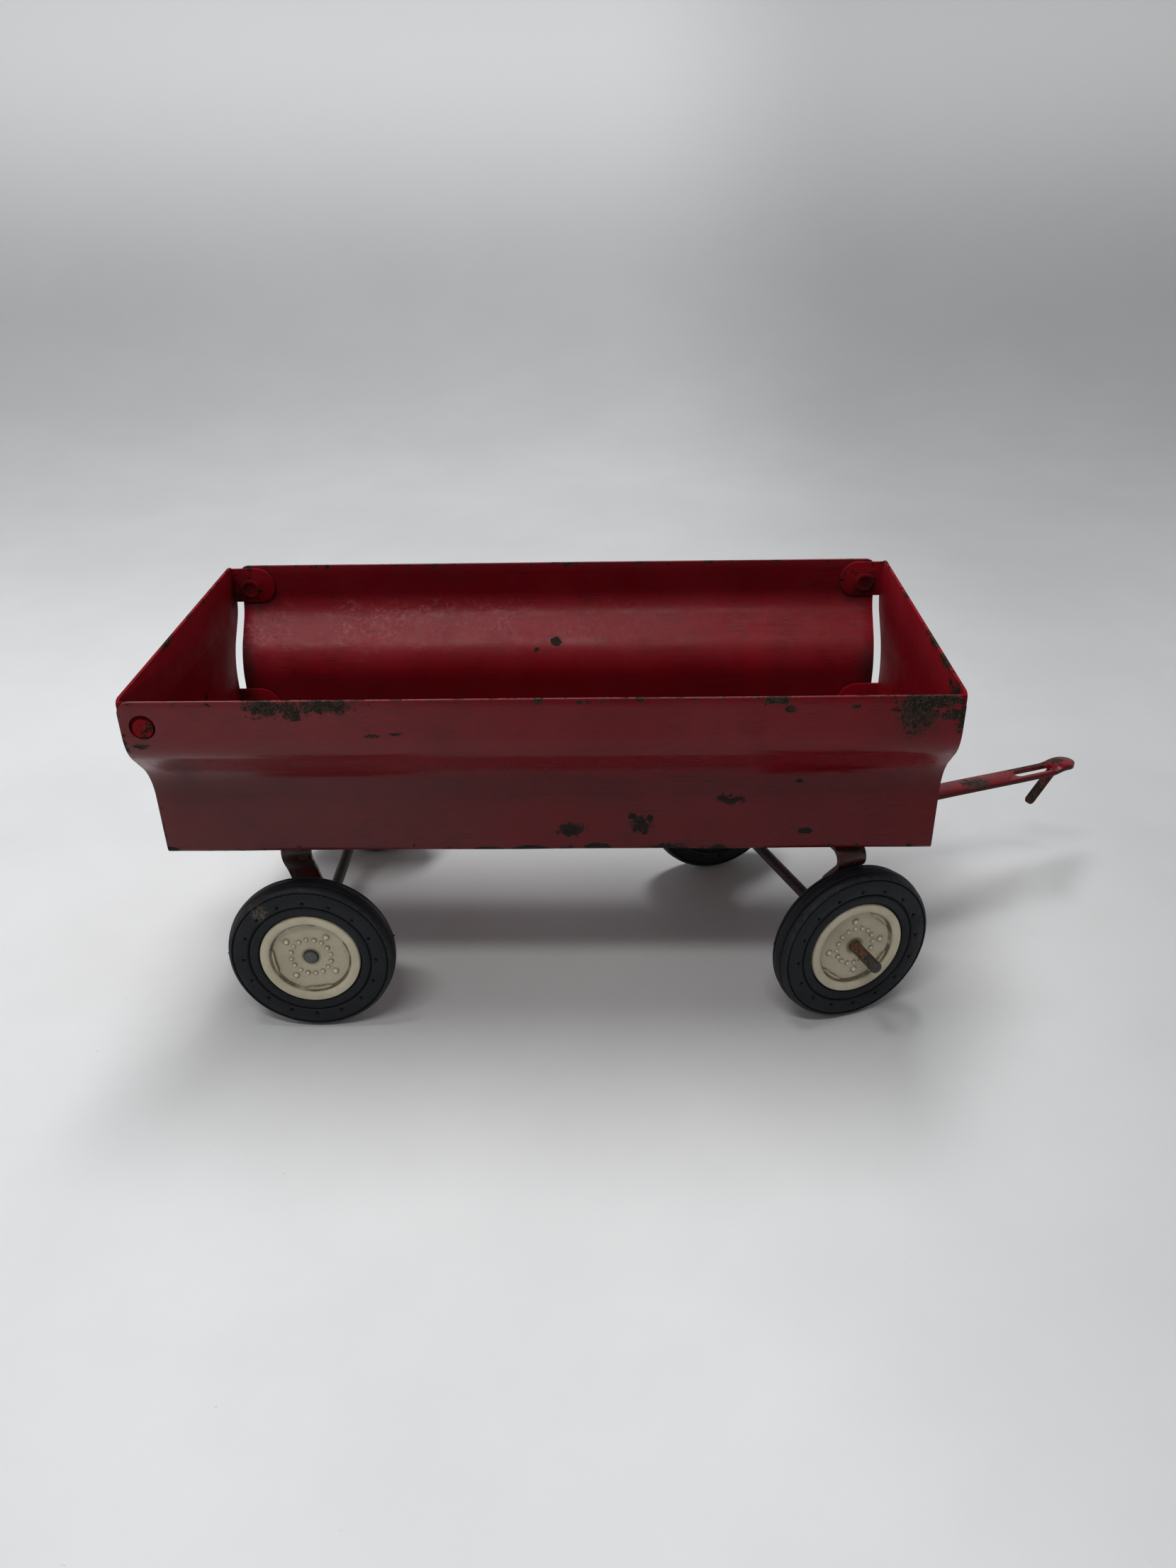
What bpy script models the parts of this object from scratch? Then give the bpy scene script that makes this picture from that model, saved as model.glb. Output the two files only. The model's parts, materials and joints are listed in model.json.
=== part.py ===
"""Toy farm wagon in pressed steel: flared open box, turning front bolster with tongue, four wheels.

Units are metres. In the wagon's own frame the origin is on the ground below the middle of the box,
+X points to the tongue end, +Y to the wagon's left side and +Z up. The empty wagon_frame then moves
the whole wagon so that the middle of its bounding box stands over the world origin.
"""
import math

import bmesh
import bpy
from mathutils import Vector

MM = 0.001
FIT = 0.2 * MM          # clearance between pieces that touch
RUN = 0.07 * MM         # radial clearance of a rod or pin in its hole
HALF_BEND = math.pi / 4

# Wagon box: one folded sheet, flat floor and two S-shaped flared sides
SHEET = 0.9 * MM
FLOOR_Z = 50.3 * MM
RIM_Z = 98.5 * MM
FLOOR_HALF_WIDTH = 38.2 * MM
RIM_HALF_WIDTH = 50.4 * MM
FLOOR_BEND_R = 1.5 * MM
LOWER_BEND_R = 15.0 * MM
UPPER_BEND_R = 11.0 * MM
UPPER_BEND_Z = 89.76 * MM    # where the upper bend runs out into the upright rim band
RIGHT_SIDE_END_X = 99.6 * MM
LEFT_SIDE_END_X = 95.8 * MM
RIM_CORNER_R = 3.0 * MM
PLAIN_FLOOR_X = 45.0 * MM    # the floor is free of rivets and pin between these two lines
END_LEAN = 0.249            # each end leans in by this share of its length per metre below the rim

# End panels with four ears each, clinched to the sides at the upper ears
PANEL_OUTER_X = 99.15 * MM
PANEL_SKEW = -0.0145         # the panels close in towards the left side by this share of Y
PANEL_THICK = 0.8 * MM
PANEL_TOP_Z = 98.7 * MM
PANEL_CLEAR = 0.35 * MM
PANEL_CHAMFER_Y = 2.0 * MM
PANEL_CHAMFER_Z = 1.3 * MM
EAR_TIP_X = 86.0 * MM
UPPER_EAR_Z = (87.7 * MM, 98.0 * MM)
LOWER_EAR_Z = (51.6 * MM, 64.0 * MM)
BUTTON_X = 93.5 * MM
BUTTON_Z = 91.7 * MM
BUTTON_R = 2.55 * MM
BUTTON_HOLE_R = 3.15 * MM
BUTTON_HOLE_RISE = 0.45 * MM
DIMPLE_R = 1.35 * MM
DIMPLE_DEPTH = 1.1 * MM

# Axle bolsters: bent straps, open downwards
STRAP_THICK = 1.2 * MM
STRAP_HALF_WIDTH = 4.0 * MM
AXLE_Z = 22.225 * MM
LEG_BACK_BEND_R = 5.0 * MM
CRANK_END_Z = 29.5 * MM       # below this height a cranked leg runs straight down
REAR_AXLE_X = -63.1 * MM
REAR_BOLSTER_X = -66.6 * MM
REAR_SHOULDER_Y = 33.4 * MM
REAR_SHOULDER_R = 3.4 * MM
REAR_TUCK_R = 10.0 * MM
REAR_TUCK_ANGLE = math.radians(22.0)
REAR_LEG_Y = 32.0 * MM
FRONT_SHOULDER_Y = 39.6 * MM
FRONT_SHOULDER_R = 3.5 * MM
FRONT_TUCK_R = 3.2 * MM
FRONT_TUCK_ANGLE = math.radians(42.0)
FRONT_LEG_Y = 32.4 * MM

# Steering: the front bolster turns about a rivet through the floor
PIVOT_X = 64.56 * MM
STEER_AT_REST = math.radians(21.6)
KING_PIN_R = 2.0 * MM
KING_HEAD_R = 4.2 * MM
KING_HEAD_H = 1.7 * MM
KING_TAIL_R = 3.4 * MM
KING_TAIL_H = 1.2 * MM
WASHER_R = 6.0 * MM
WASHER_THICK = 0.5 * MM
SMALL_RIVET_R = 1.4 * MM
SMALL_HEAD_R = 2.6 * MM
SMALL_HEAD_H = 1.0 * MM
SMALL_TAIL_H = 0.8 * MM
REAR_RIVET_Y = 13.0 * MM
TONGUE_RIVET_Y = 7.6 * MM

# Tongue: strap with a T-shaped root, a step down, a slot and a hook lanced out of the slot
TONGUE_THICK = 1.25 * MM
TONGUE_HALF_WIDTH = 3.4 * MM
TONGUE_ROOT_HALF_WIDTH = 11.0 * MM
TONGUE_ROOT_REACH = 3.9 * MM
TONGUE_TOP_Z = 36.2 * MM
TONGUE_STEP_ANGLE = math.radians(38.0)
TONGUE_BEND_R = 3.0 * MM
TONGUE_REACH = 101.8 * MM
TONGUE_TIP_RISE = 1.0 * MM
SLOT_START = 80.6 * MM
SLOT_END = 94.0 * MM
SLOT_HALF_WIDTH = 1.7 * MM
HOOK_ROOT = 96.4 * MM
HOOK_TIP = (87.6 * MM, 24.6 * MM)
HOOK_BEND = (95.0 * MM, 34.4 * MM)
HOOK_THICK = 1.15 * MM
HOOK_HALF_WIDTH = 1.45 * MM

# Axle rods
ROD_R = 1.5875 * MM
ROD_CHAMFER = 0.25 * MM
ROD_HEAD_R = 2.0 * MM
ROD_HEAD_H = 0.6 * MM
FRONT_ROD_Y = (-55.0 * MM, 41.8 * MM)

# Wheels: hub lengths run inwards from the hub's outer face
HUB_LENGTH = 12.4 * MM
HUB_FLANGE_R = 13.3 * MM
HUB_CORE_R = 11.4 * MM
HUB_DISH = 1.7 * MM
HUB_BOSS_R = 4.2 * MM
TYRE_R = 22.225 * MM
REAR_RIGHT_FACE_Y = -46.4 * MM
REAR_LEFT_FACE_Y = 53.0 * MM
FRONT_RIGHT_FACE_Y = -45.5 * MM
FRONT_LEFT_FACE_Y = 45.6 * MM

ROUND_STEPS = 24
RIVET_STEPS = 16
HUB_STEPS = 28
TYRE_STEPS = 36


def clear_scene():
    for old in list(bpy.data.objects):
        bpy.data.objects.remove(old, do_unlink=True)


def make_material(name, colour, roughness, metallic):
    material = bpy.data.materials.new(name)
    material.use_nodes = True
    shader = material.node_tree.nodes["Principled BSDF"]
    shader.inputs["Base Color"].default_value = (*colour, 1.0)
    shader.inputs["Roughness"].default_value = roughness
    shader.inputs["Metallic"].default_value = metallic
    return material


def arc(centre, radius, start, end, steps):
    """Points on a circle from one angle to the other, both ends included."""
    points = []
    for i in range(steps + 1):
        angle = start + (end - start) * i / steps
        points.append((centre[0] + radius * math.cos(angle), centre[1] + radius * math.sin(angle)))
    return points


def offset_path(points, distance):
    """The path moved sideways, to its left, with mitred corners."""
    normals = []
    for (u0, v0), (u1, v1) in zip(points, points[1:]):
        run = math.hypot(u1 - u0, v1 - v0)
        normals.append(((v0 - v1) / run, (u1 - u0) / run))
    moved = []
    for i, (u, v) in enumerate(points):
        before = normals[max(i - 1, 0)]
        after = normals[min(i, len(normals) - 1)]
        scale = distance / (1.0 + before[0] * after[0] + before[1] * after[1])
        moved.append((u + scale * (before[0] + after[0]), v + scale * (before[1] + after[1])))
    return moved


def new_object(name, bm, material, parent, smooth_angle=35.0):
    """Turns a bmesh into a named object with outward faces and smooth round surfaces."""
    bmesh.ops.recalc_face_normals(bm, faces=bm.faces)
    mesh = bpy.data.meshes.new(name)
    bm.to_mesh(mesh)
    bm.free()
    mesh.materials.append(material)
    mesh.shade_smooth()
    mesh.set_sharp_from_angle(angle=math.radians(smooth_angle))
    made = bpy.data.objects.new(name, mesh)
    bpy.context.scene.collection.objects.link(made)
    made.parent = parent
    return made


def new_empty(name, parent, location=(0.0, 0.0, 0.0), turn_z=0.0):
    empty = bpy.data.objects.new(name, None)
    bpy.context.scene.collection.objects.link(empty)
    empty.parent = parent
    empty.location = location
    empty.rotation_euler = (0.0, 0.0, turn_z)
    return empty


def strip_bmesh(outer, inner, ends, place):
    """A bent sheet between two matched paths; ends gives each point's two limits across the path."""
    bm = bmesh.new()
    rows = []
    for path in (outer, inner):
        for side in (0, 1):
            rows.append([bm.verts.new(place(u, v, ends[i][side])) for i, (u, v) in enumerate(path)])
    ring = (rows[0], rows[1], rows[3], rows[2])
    for k in range(4):
        one = ring[k]
        two = ring[(k + 1) % 4]
        for i in range(len(outer) - 1):
            bm.faces.new((one[i], one[i + 1], two[i + 1], two[i]))
    for i in (0, len(outer) - 1):
        bm.faces.new([row[i] for row in ring])
    return bm


def prism_bmesh(outline, low, high, place):
    """A flat outline given thickness from low to high."""
    bm = bmesh.new()
    bottom = [bm.verts.new(place(u, v, low)) for u, v in outline]
    top = [bm.verts.new(place(u, v, high)) for u, v in outline]
    bm.faces.new(bottom)
    bm.faces.new(top)
    count = len(outline)
    for i in range(count):
        j = (i + 1) % count
        bm.faces.new((bottom[i], bottom[j], top[j], top[i]))
    return bm


def turned_bmesh(profile, steps, place, ring=False):
    """A profile of (radius, distance along the axis) turned about its axis."""
    bm = bmesh.new()
    circles = []
    for radius, along in profile:
        count = steps if radius > 0.0 else 1
        turn = 2.0 * math.pi / steps
        circles.append([
            bm.verts.new(place(radius * math.cos(i * turn), radius * math.sin(i * turn), along))
            for i in range(count)
        ])
    pairs = list(zip(circles, circles[1:]))
    if ring:
        pairs.append((circles[-1], circles[0]))
    for one, two in pairs:
        for i in range(steps):
            j = (i + 1) % steps
            corners = [one[i % len(one)], one[j % len(one)], two[j % len(two)], two[i % len(two)]]
            bm.faces.new(list(dict.fromkeys(corners)))
    return bm


def across_x(u, v, w):
    return (w, u, v)


def across_y(u, v, w):
    return (u, w, v)


def about_y(a, b, along):
    return (a, along, b)


def about_z(a, b, along):
    return (a, b, along)


def boolean(target, tool, operation):
    """Adds or cuts with a helper object, which is itself kept out of the model."""
    tool.hide_render = True
    tool.display_type = "WIRE"
    modifier = target.modifiers.new(tool.name, "BOOLEAN")
    modifier.operation = operation
    modifier.solver = "EXACT"
    modifier.object = tool


def drill(target, name, radius, centre, half_length, place):
    """A round hole through target, along the axis that place stands for."""
    profile = [(0.0, -half_length), (radius, -half_length), (radius, half_length), (0.0, half_length)]
    bm = turned_bmesh(profile, ROUND_STEPS, place)
    tool = new_object(name, bm, target.data.materials[0], target.parent)
    tool.location = centre
    boolean(target, tool, "DIFFERENCE")


def side_profile():
    """The left half of the box section's outer face, from the floor's edge up to the rim."""
    bend_cos = math.cos(HALF_BEND)
    lower_y = FLOOR_HALF_WIDTH + LOWER_BEND_R
    upper_y = RIM_HALF_WIDTH - UPPER_BEND_R
    slope_rise = upper_y + UPPER_BEND_R * bend_cos - (lower_y - LOWER_BEND_R * bend_cos)
    lower_z = UPPER_BEND_Z - UPPER_BEND_R * bend_cos - slope_rise - LOWER_BEND_R * bend_cos
    floor_centre = (FLOOR_HALF_WIDTH - FLOOR_BEND_R, FLOOR_Z + FLOOR_BEND_R)
    points = arc(floor_centre, FLOOR_BEND_R, -math.pi / 2, 0.0, 3)
    points += arc((lower_y, lower_z), LOWER_BEND_R, math.pi, math.pi - HALF_BEND, 5)
    points += arc((upper_y, UPPER_BEND_Z), UPPER_BEND_R, -HALF_BEND, 0.0, 5)
    points.append((RIM_HALF_WIDTH, RIM_Z))
    return points


def lean_share(z):
    """How far along X a point at this height sits, compared with the same point at the rim."""
    return 1.0 - END_LEAN * (RIM_Z - z)


def lean(bm):
    for vert in bm.verts:
        vert.co.x *= lean_share(vert.co.z)


def box_end_x(y):
    """The two sides differ in length, and the floor's end runs straight from one to the other."""
    share = min(max((y + FLOOR_HALF_WIDTH) / (2.0 * FLOOR_HALF_WIDTH), 0.0), 1.0)
    return RIGHT_SIDE_END_X + (LEFT_SIDE_END_X - RIGHT_SIDE_END_X) * share


def rim_corner_edges(bm):
    """The short edges across the sheet at the four rim corners."""
    corners = []
    for edge in bm.edges:
        one, two = edge.verts
        at_rim = min(one.co.z, two.co.z) > RIM_Z - 1e-6
        across = abs(one.co.x - two.co.x) < 1e-6
        if at_rim and across:
            corners.append(edge)
    return corners


def button_corners():
    """Where an upper ear shows a clinch button through the side: (x sign, y sign)."""
    return [(-1, -1), (-1, 1), (1, 1)]


def button_x(x_sign, y_sign, z):
    return x_sign * (BUTTON_X * lean_share(z) + PANEL_SKEW * y_sign * RIM_HALF_WIDTH)


def skew(bm, x_sign):
    for vert in bm.verts:
        vert.co.x += x_sign * PANEL_SKEW * vert.co.y


def make_box_body(parent, paint):
    left = side_profile()
    outer = [(-y, z) for y, z in reversed(left)] + left
    inner = offset_path(outer, SHEET)
    ends = [(-box_end_x(y), box_end_x(y)) for y, _ in outer]
    bm = strip_bmesh(outer, inner, ends, across_x)
    bmesh.ops.recalc_face_normals(bm, faces=bm.faces)
    bmesh.ops.bevel(
        bm, geom=rim_corner_edges(bm), offset=RIM_CORNER_R, segments=5, profile=0.5, affect="EDGES"
    )
    for x in (-PLAIN_FLOOR_X, PLAIN_FLOOR_X):
        everything = bm.verts[:] + bm.edges[:] + bm.faces[:]
        bmesh.ops.bisect_plane(bm, geom=everything, plane_co=(x, 0.0, 0.0), plane_no=(1.0, 0.0, 0.0))
    lean(bm)
    box = new_object("box_body", bm, paint, parent)
    for x_sign, y_sign in button_corners():
        hole_z = BUTTON_Z + BUTTON_HOLE_RISE
        centre = (button_x(x_sign, y_sign, hole_z), y_sign * RIM_HALF_WIDTH, hole_z)
        name = f"cut_button_{x_sign}_{y_sign}"
        drill(box, name, BUTTON_HOLE_R, centre, 4.0 * MM, about_y)
    drill(box, "cut_king_pin", KING_PIN_R + RUN, (PIVOT_X, 0.0, FLOOR_Z), 4.0 * MM, about_z)
    for side, sign in (("left", 1), ("right", -1)):
        centre = (REAR_BOLSTER_X, sign * REAR_RIVET_Y, FLOOR_Z)
        drill(box, f"cut_floor_{side}", SMALL_RIVET_R + RUN, centre, 4.0 * MM, about_z)
    return box


def panel_outline():
    """The end panel's outline, which follows the inside of the box section."""
    edge = offset_path(side_profile(), SHEET + PANEL_CLEAR)
    top_y = edge[-1][0]
    left = edge[:-1]
    left.append((top_y, PANEL_TOP_Z - PANEL_CHAMFER_Z))
    left.append((top_y - PANEL_CHAMFER_Y, PANEL_TOP_Z))
    return [(-y, z) for y, z in left] + [(y, z) for y, z in reversed(left)]


def ear_outline(z_limits, root_x):
    """An ear in the side view: straight at its root, half round at its tip."""
    low, high = z_limits
    radius = (high - low) / 2.0
    outline = [(root_x, high), (root_x, low)]
    outline += arc((EAR_TIP_X + radius, low + radius), radius, -math.pi / 2, -3 * math.pi / 2, 8)
    return outline


def make_end_panel(name, x_sign, parent, paint):
    inner_x = PANEL_OUTER_X - PANEL_THICK
    bm = prism_bmesh(panel_outline(), x_sign * inner_x, x_sign * PANEL_OUTER_X, across_x)
    lean(bm)
    skew(bm, x_sign)
    panel = new_object(name, bm, paint, parent)
    ear_root_x = inner_x + PANEL_THICK / 2.0
    ear_rows = (
        ("upper", UPPER_EAR_Z, RIM_HALF_WIDTH - SHEET - PANEL_CLEAR - 0.05 * MM),
        ("lower", LOWER_EAR_Z, FLOOR_HALF_WIDTH - SHEET - PANEL_CLEAR - 0.05 * MM),
    )
    for y_sign in (-1, 1):
        for row, z_limits, outer_y in ear_rows:
            outline = [(x_sign * x, z) for x, z in ear_outline(z_limits, ear_root_x)]
            low = y_sign * (outer_y - PANEL_THICK)
            bm = prism_bmesh(outline, low, y_sign * outer_y, across_y)
            lean(bm)
            skew(bm, x_sign)
            ear = new_object(f"add_{name}_{row}_{y_sign}", bm, paint, parent)
            boolean(panel, ear, "UNION")
        if (x_sign, y_sign) in button_corners():
            add_button(panel, x_sign, y_sign, ear_rows[0][2], paint)
    return panel


def add_button(panel, x_sign, y_sign, ear_y, paint):
    """The clinch button pressed out of an upper ear, flush with the side, hollow on the inside."""
    centre = (button_x(x_sign, y_sign, BUTTON_Z), 0.0, BUTTON_Z)
    start = y_sign * (ear_y - PANEL_THICK / 2.0)
    end = y_sign * RIM_HALF_WIDTH
    profile = [(0.0, start), (BUTTON_R, start), (BUTTON_R, end), (0.0, end)]
    tag = f"{panel.name}_{y_sign}"
    bm = turned_bmesh(profile, ROUND_STEPS, about_y)
    button = new_object(f"add_button_{tag}", bm, paint, panel.parent)
    button.location = centre
    boolean(panel, button, "UNION")
    start = y_sign * (ear_y - 2.0 * PANEL_THICK)
    end = y_sign * (ear_y - PANEL_THICK + DIMPLE_DEPTH)
    profile = [(0.0, start), (DIMPLE_R, start), (DIMPLE_R, end), (0.0, end)]
    bm = turned_bmesh(profile, 16, about_y)
    dimple = new_object(f"cut_dimple_{tag}", bm, paint, panel.parent)
    dimple.location = centre
    boolean(panel, dimple, "DIFFERENCE")


def bolster_path(top_z, shoulder_y, shoulder_r, tuck_r, tuck_angle, leg_y):
    """The outer face of a bolster's left half, from its shoulder down to just above the axle."""
    shoulder = (shoulder_y - shoulder_r, top_z - shoulder_r)
    points = arc(shoulder, shoulder_r, math.pi / 2, 0.0, 5)
    points += arc((shoulder_y - tuck_r, shoulder[1]), tuck_r, 0.0, -tuck_angle, 5)[1:]
    back_centre_y = leg_y + LEG_BACK_BEND_R
    back_start_y = back_centre_y - LEG_BACK_BEND_R * math.cos(tuck_angle)
    slant_z = (points[-1][0] - back_start_y) / math.tan(tuck_angle)
    back_centre_z = points[-1][1] - slant_z - LEG_BACK_BEND_R * math.sin(tuck_angle)
    start = math.pi - tuck_angle
    points += arc((back_centre_y, back_centre_z), LEG_BACK_BEND_R, start, math.pi, 5)
    return points


def make_bolster(name, path, crank, parent, steel):
    """A strap bent down on both sides; crank is how far the legs slant along X to reach the axle."""
    leg_y, leg_top = path[-1]
    leg = [(leg_y, leg_top + (AXLE_Z - leg_top) * i / 6.0) for i in range(1, 6)]
    tip = []
    widths = [STRAP_HALF_WIDTH] * (len(path) + len(leg))
    for degrees in (0.0, 30.0, 55.0, 75.0):
        angle = math.radians(degrees)
        tip.append((leg_y, AXLE_Z - STRAP_HALF_WIDTH * math.sin(angle)))
        widths.append(STRAP_HALF_WIDTH * math.cos(angle))
    left = path + leg + tip
    outer = [(-y, z) for y, z in reversed(left)] + left
    half_widths = list(reversed(widths)) + widths
    inner = offset_path(outer, -STRAP_THICK)
    crank_top = path[5][1]
    ends = []
    for (_, z), half in zip(outer, half_widths):
        share = min(max((crank_top - z) / (crank_top - CRANK_END_Z), 0.0), 1.0)
        shift = crank * share * share * (3.0 - 2.0 * share)
        ends.append((shift - half, shift + half))
    bm = strip_bmesh(outer, inner, ends, across_x)
    bolster = new_object(name, bm, steel, parent)
    hole_z = AXLE_Z
    drill(bolster, f"cut_{name}_axle", ROD_R + RUN, (crank, 0.0, hole_z), 60.0 * MM, about_y)
    return bolster


def rivet_bmesh(steps, radius, head_r, head_h, tail_r, tail_h, head_z, tail_z):
    """A rivet about Z: domed head above head_z, flat-domed tail below tail_z."""
    profile = [
        (0.0, tail_z - tail_h),
        (tail_r * 0.7, tail_z - tail_h),
        (tail_r, tail_z - tail_h * 0.4),
        (tail_r, tail_z),
        (radius, tail_z),
        (radius, head_z),
        (head_r, head_z),
        (head_r, head_z + head_h * 0.3),
        (head_r * 0.8, head_z + head_h * 0.75),
        (head_r * 0.4, head_z + head_h),
        (0.0, head_z + head_h),
    ]
    return turned_bmesh(profile, steps, about_z)


def make_rear_bolster(parent, steel):
    base = new_empty("rear_bolster_place", parent, (REAR_BOLSTER_X, 0.0, 0.0))
    path = bolster_path(
        FLOOR_Z - FIT, REAR_SHOULDER_Y, REAR_SHOULDER_R, REAR_TUCK_R, REAR_TUCK_ANGLE, REAR_LEG_Y
    )
    bolster = make_bolster("rear_bolster", path, REAR_AXLE_X - REAR_BOLSTER_X, base, steel)
    head_z = FLOOR_Z + SHEET + FIT
    tail_z = FLOOR_Z - FIT - STRAP_THICK - FIT
    for side, sign in (("left", 1), ("right", -1)):
        spot = (0.0, sign * REAR_RIVET_Y, FLOOR_Z)
        drill(bolster, f"cut_rear_bolster_{side}", SMALL_RIVET_R + RUN, spot, 4.0 * MM, about_z)
        bm = rivet_bmesh(
            RIVET_STEPS,
            SMALL_RIVET_R,
            SMALL_HEAD_R,
            SMALL_HEAD_H,
            SMALL_HEAD_R,
            SMALL_TAIL_H,
            head_z,
            tail_z,
        )
        rivet = new_object(f"rear_bolster_rivet_{side}", bm, steel, base)
        rivet.location = (0.0, sign * REAR_RIVET_Y, 0.0)


def washer_top():
    return FLOOR_Z - FIT


def front_strap_top():
    return washer_top() - WASHER_THICK - FIT


def tongue_root_top():
    return front_strap_top() - STRAP_THICK - FIT


def make_king_pin(parent, steel):
    place = new_empty("king_pin_place", parent, (PIVOT_X, 0.0, 0.0))
    head_z = FLOOR_Z + SHEET + FIT
    tail_z = tongue_root_top() - TONGUE_THICK - FIT
    bm = rivet_bmesh(
        ROUND_STEPS, KING_PIN_R, KING_HEAD_R, KING_HEAD_H, KING_TAIL_R, KING_TAIL_H, head_z, tail_z
    )
    new_object("king_pin", bm, steel, place)


def make_front_bolster(parent, steel):
    path = bolster_path(
        front_strap_top(),
        FRONT_SHOULDER_Y,
        FRONT_SHOULDER_R,
        FRONT_TUCK_R,
        FRONT_TUCK_ANGLE,
        FRONT_LEG_Y,
    )
    bolster = make_bolster("front_bolster", path, 0.0, parent, steel)
    hole_r = KING_PIN_R + RUN
    drill(bolster, "cut_bolster_pin", hole_r, (0.0, 0.0, front_strap_top()), 4.0 * MM, about_z)
    for side, sign in (("left", 1), ("right", -1)):
        spot = (0.0, sign * TONGUE_RIVET_Y, front_strap_top())
        drill(bolster, f"cut_bolster_{side}", SMALL_RIVET_R + RUN, spot, 4.0 * MM, about_z)
    low = washer_top() - WASHER_THICK
    profile = [(hole_r, low), (WASHER_R, low), (WASHER_R, washer_top()), (hole_r, washer_top())]
    bm = turned_bmesh(profile, ROUND_STEPS, about_z, ring=True)
    new_object("swivel_washer", bm, steel, parent)


def tongue_path():
    """The tongue's upper face in its own side view, from behind the pivot out to the tip."""
    root_z = tongue_root_top()
    drop = root_z - TONGUE_TOP_Z
    lower_r = TONGUE_BEND_R + TONGUE_THICK
    bend_rise = (TONGUE_BEND_R + lower_r) * (1.0 - math.cos(TONGUE_STEP_ANGLE))
    slope_run = (drop - bend_rise) / math.tan(TONGUE_STEP_ANGLE)
    first = (TONGUE_ROOT_REACH + 2.0 * TONGUE_BEND_R, root_z - TONGUE_BEND_R)
    up = math.pi / 2
    points = [(-TONGUE_ROOT_REACH, root_z), (TONGUE_ROOT_REACH, root_z)]
    points += arc(first, TONGUE_BEND_R, up, up - TONGUE_STEP_ANGLE, 4)
    second_x = first[0] + (TONGUE_BEND_R + lower_r) * math.sin(TONGUE_STEP_ANGLE) + slope_run
    second = (second_x, TONGUE_TOP_Z + lower_r)
    points += arc(second, lower_r, -up - TONGUE_STEP_ANGLE, -up, 4)
    return points


def tongue_stations():
    """(distance from the pivot, height, half width) along the tongue's upper face."""
    path = tongue_path()
    neck = path[1][0] + 1.2 * MM
    stations = [(*path[0], TONGUE_ROOT_HALF_WIDTH), (*path[1], TONGUE_ROOT_HALF_WIDTH)]
    stations.append((neck, path[1][1], TONGUE_HALF_WIDTH))
    stations += [(x, z, TONGUE_HALF_WIDTH) for x, z in path[2:]]
    rise_start = SLOT_END - 2.0 * MM
    round_start = TONGUE_REACH - TONGUE_HALF_WIDTH
    stations.append((rise_start, TONGUE_TOP_Z, TONGUE_HALF_WIDTH))
    rise_end = round_start - 1.0 * MM
    stations.append((rise_end, TONGUE_TOP_Z + TONGUE_TIP_RISE, TONGUE_HALF_WIDTH))
    for degrees in (0.0, 25.0, 50.0, 70.0, 84.0):
        angle = math.radians(degrees)
        x = round_start + TONGUE_HALF_WIDTH * math.sin(angle)
        stations.append((x, TONGUE_TOP_Z + TONGUE_TIP_RISE, TONGUE_HALF_WIDTH * math.cos(angle)))
    return stations


def make_tongue(parent, paint):
    stations = tongue_stations()
    outer = [(x, z) for x, z, _ in stations]
    inner = offset_path(outer, -TONGUE_THICK)
    ends = [(-half, half) for _, _, half in stations]
    bm = strip_bmesh(outer, inner, ends, across_y)
    tongue = new_object("tongue", bm, paint, parent)
    make_slot(tongue, paint)
    make_hook(tongue, paint)
    root_z = tongue_root_top()
    drill(tongue, "cut_tongue_pin", KING_PIN_R + RUN, (0.0, 0.0, root_z), 4.0 * MM, about_z)
    head_z = front_strap_top() + 0.02 * MM
    for side, sign in (("left", 1), ("right", -1)):
        spot = (0.0, sign * TONGUE_RIVET_Y, root_z)
        drill(tongue, f"cut_tongue_{side}", SMALL_RIVET_R + RUN, spot, 4.0 * MM, about_z)
        bm = rivet_bmesh(
            RIVET_STEPS,
            SMALL_RIVET_R,
            SMALL_RIVET_R * 1.5,
            FIT,
            SMALL_HEAD_R,
            SMALL_TAIL_H,
            head_z,
            root_z - TONGUE_THICK - FIT,
        )
        rivet = new_object(f"tongue_rivet_{side}", bm, paint, parent)
        rivet.location = (0.0, sign * TONGUE_RIVET_Y, 0.0)


def make_slot(tongue, paint):
    half = SLOT_HALF_WIDTH
    outline = arc((SLOT_END - half, 0.0), half, -math.pi / 2, math.pi / 2, 8)
    outline += arc((SLOT_START + half, 0.0), half, math.pi / 2, 3 * math.pi / 2, 8)
    low = TONGUE_TOP_Z - 3.0 * TONGUE_THICK
    high = TONGUE_TOP_Z + 3.0 * TONGUE_THICK
    bm = prism_bmesh(outline, low, high, about_z)
    slot = new_object("cut_slot", bm, paint, tongue.parent)
    boolean(tongue, slot, "DIFFERENCE")


def make_hook(tongue, paint):
    """The tab that the slot was cut for, bent down and back under the tongue."""
    root_z = TONGUE_TOP_Z + TONGUE_TIP_RISE - 0.4 * MM
    tip = Vector(HOOK_TIP)
    bend = Vector(HOOK_BEND)
    along = (tip - bend).normalized()
    path = [(HOOK_ROOT, root_z), (HOOK_ROOT - 0.3 * MM, root_z - 1.6 * MM), tuple(bend)]
    widths = [HOOK_HALF_WIDTH] * len(path)
    for degrees in (0.0, 30.0, 55.0, 75.0):
        angle = math.radians(degrees)
        point = tip + along * HOOK_HALF_WIDTH * (math.sin(angle) - 1.0)
        path.append(tuple(point))
        widths.append(HOOK_HALF_WIDTH * math.cos(angle))
    other = offset_path(path, -HOOK_THICK)
    ends = [(-half, half) for half in widths]
    bm = strip_bmesh(path, other, ends, across_y)
    hook = new_object("add_hook", bm, paint, tongue.parent)
    boolean(tongue, hook, "UNION")


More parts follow.
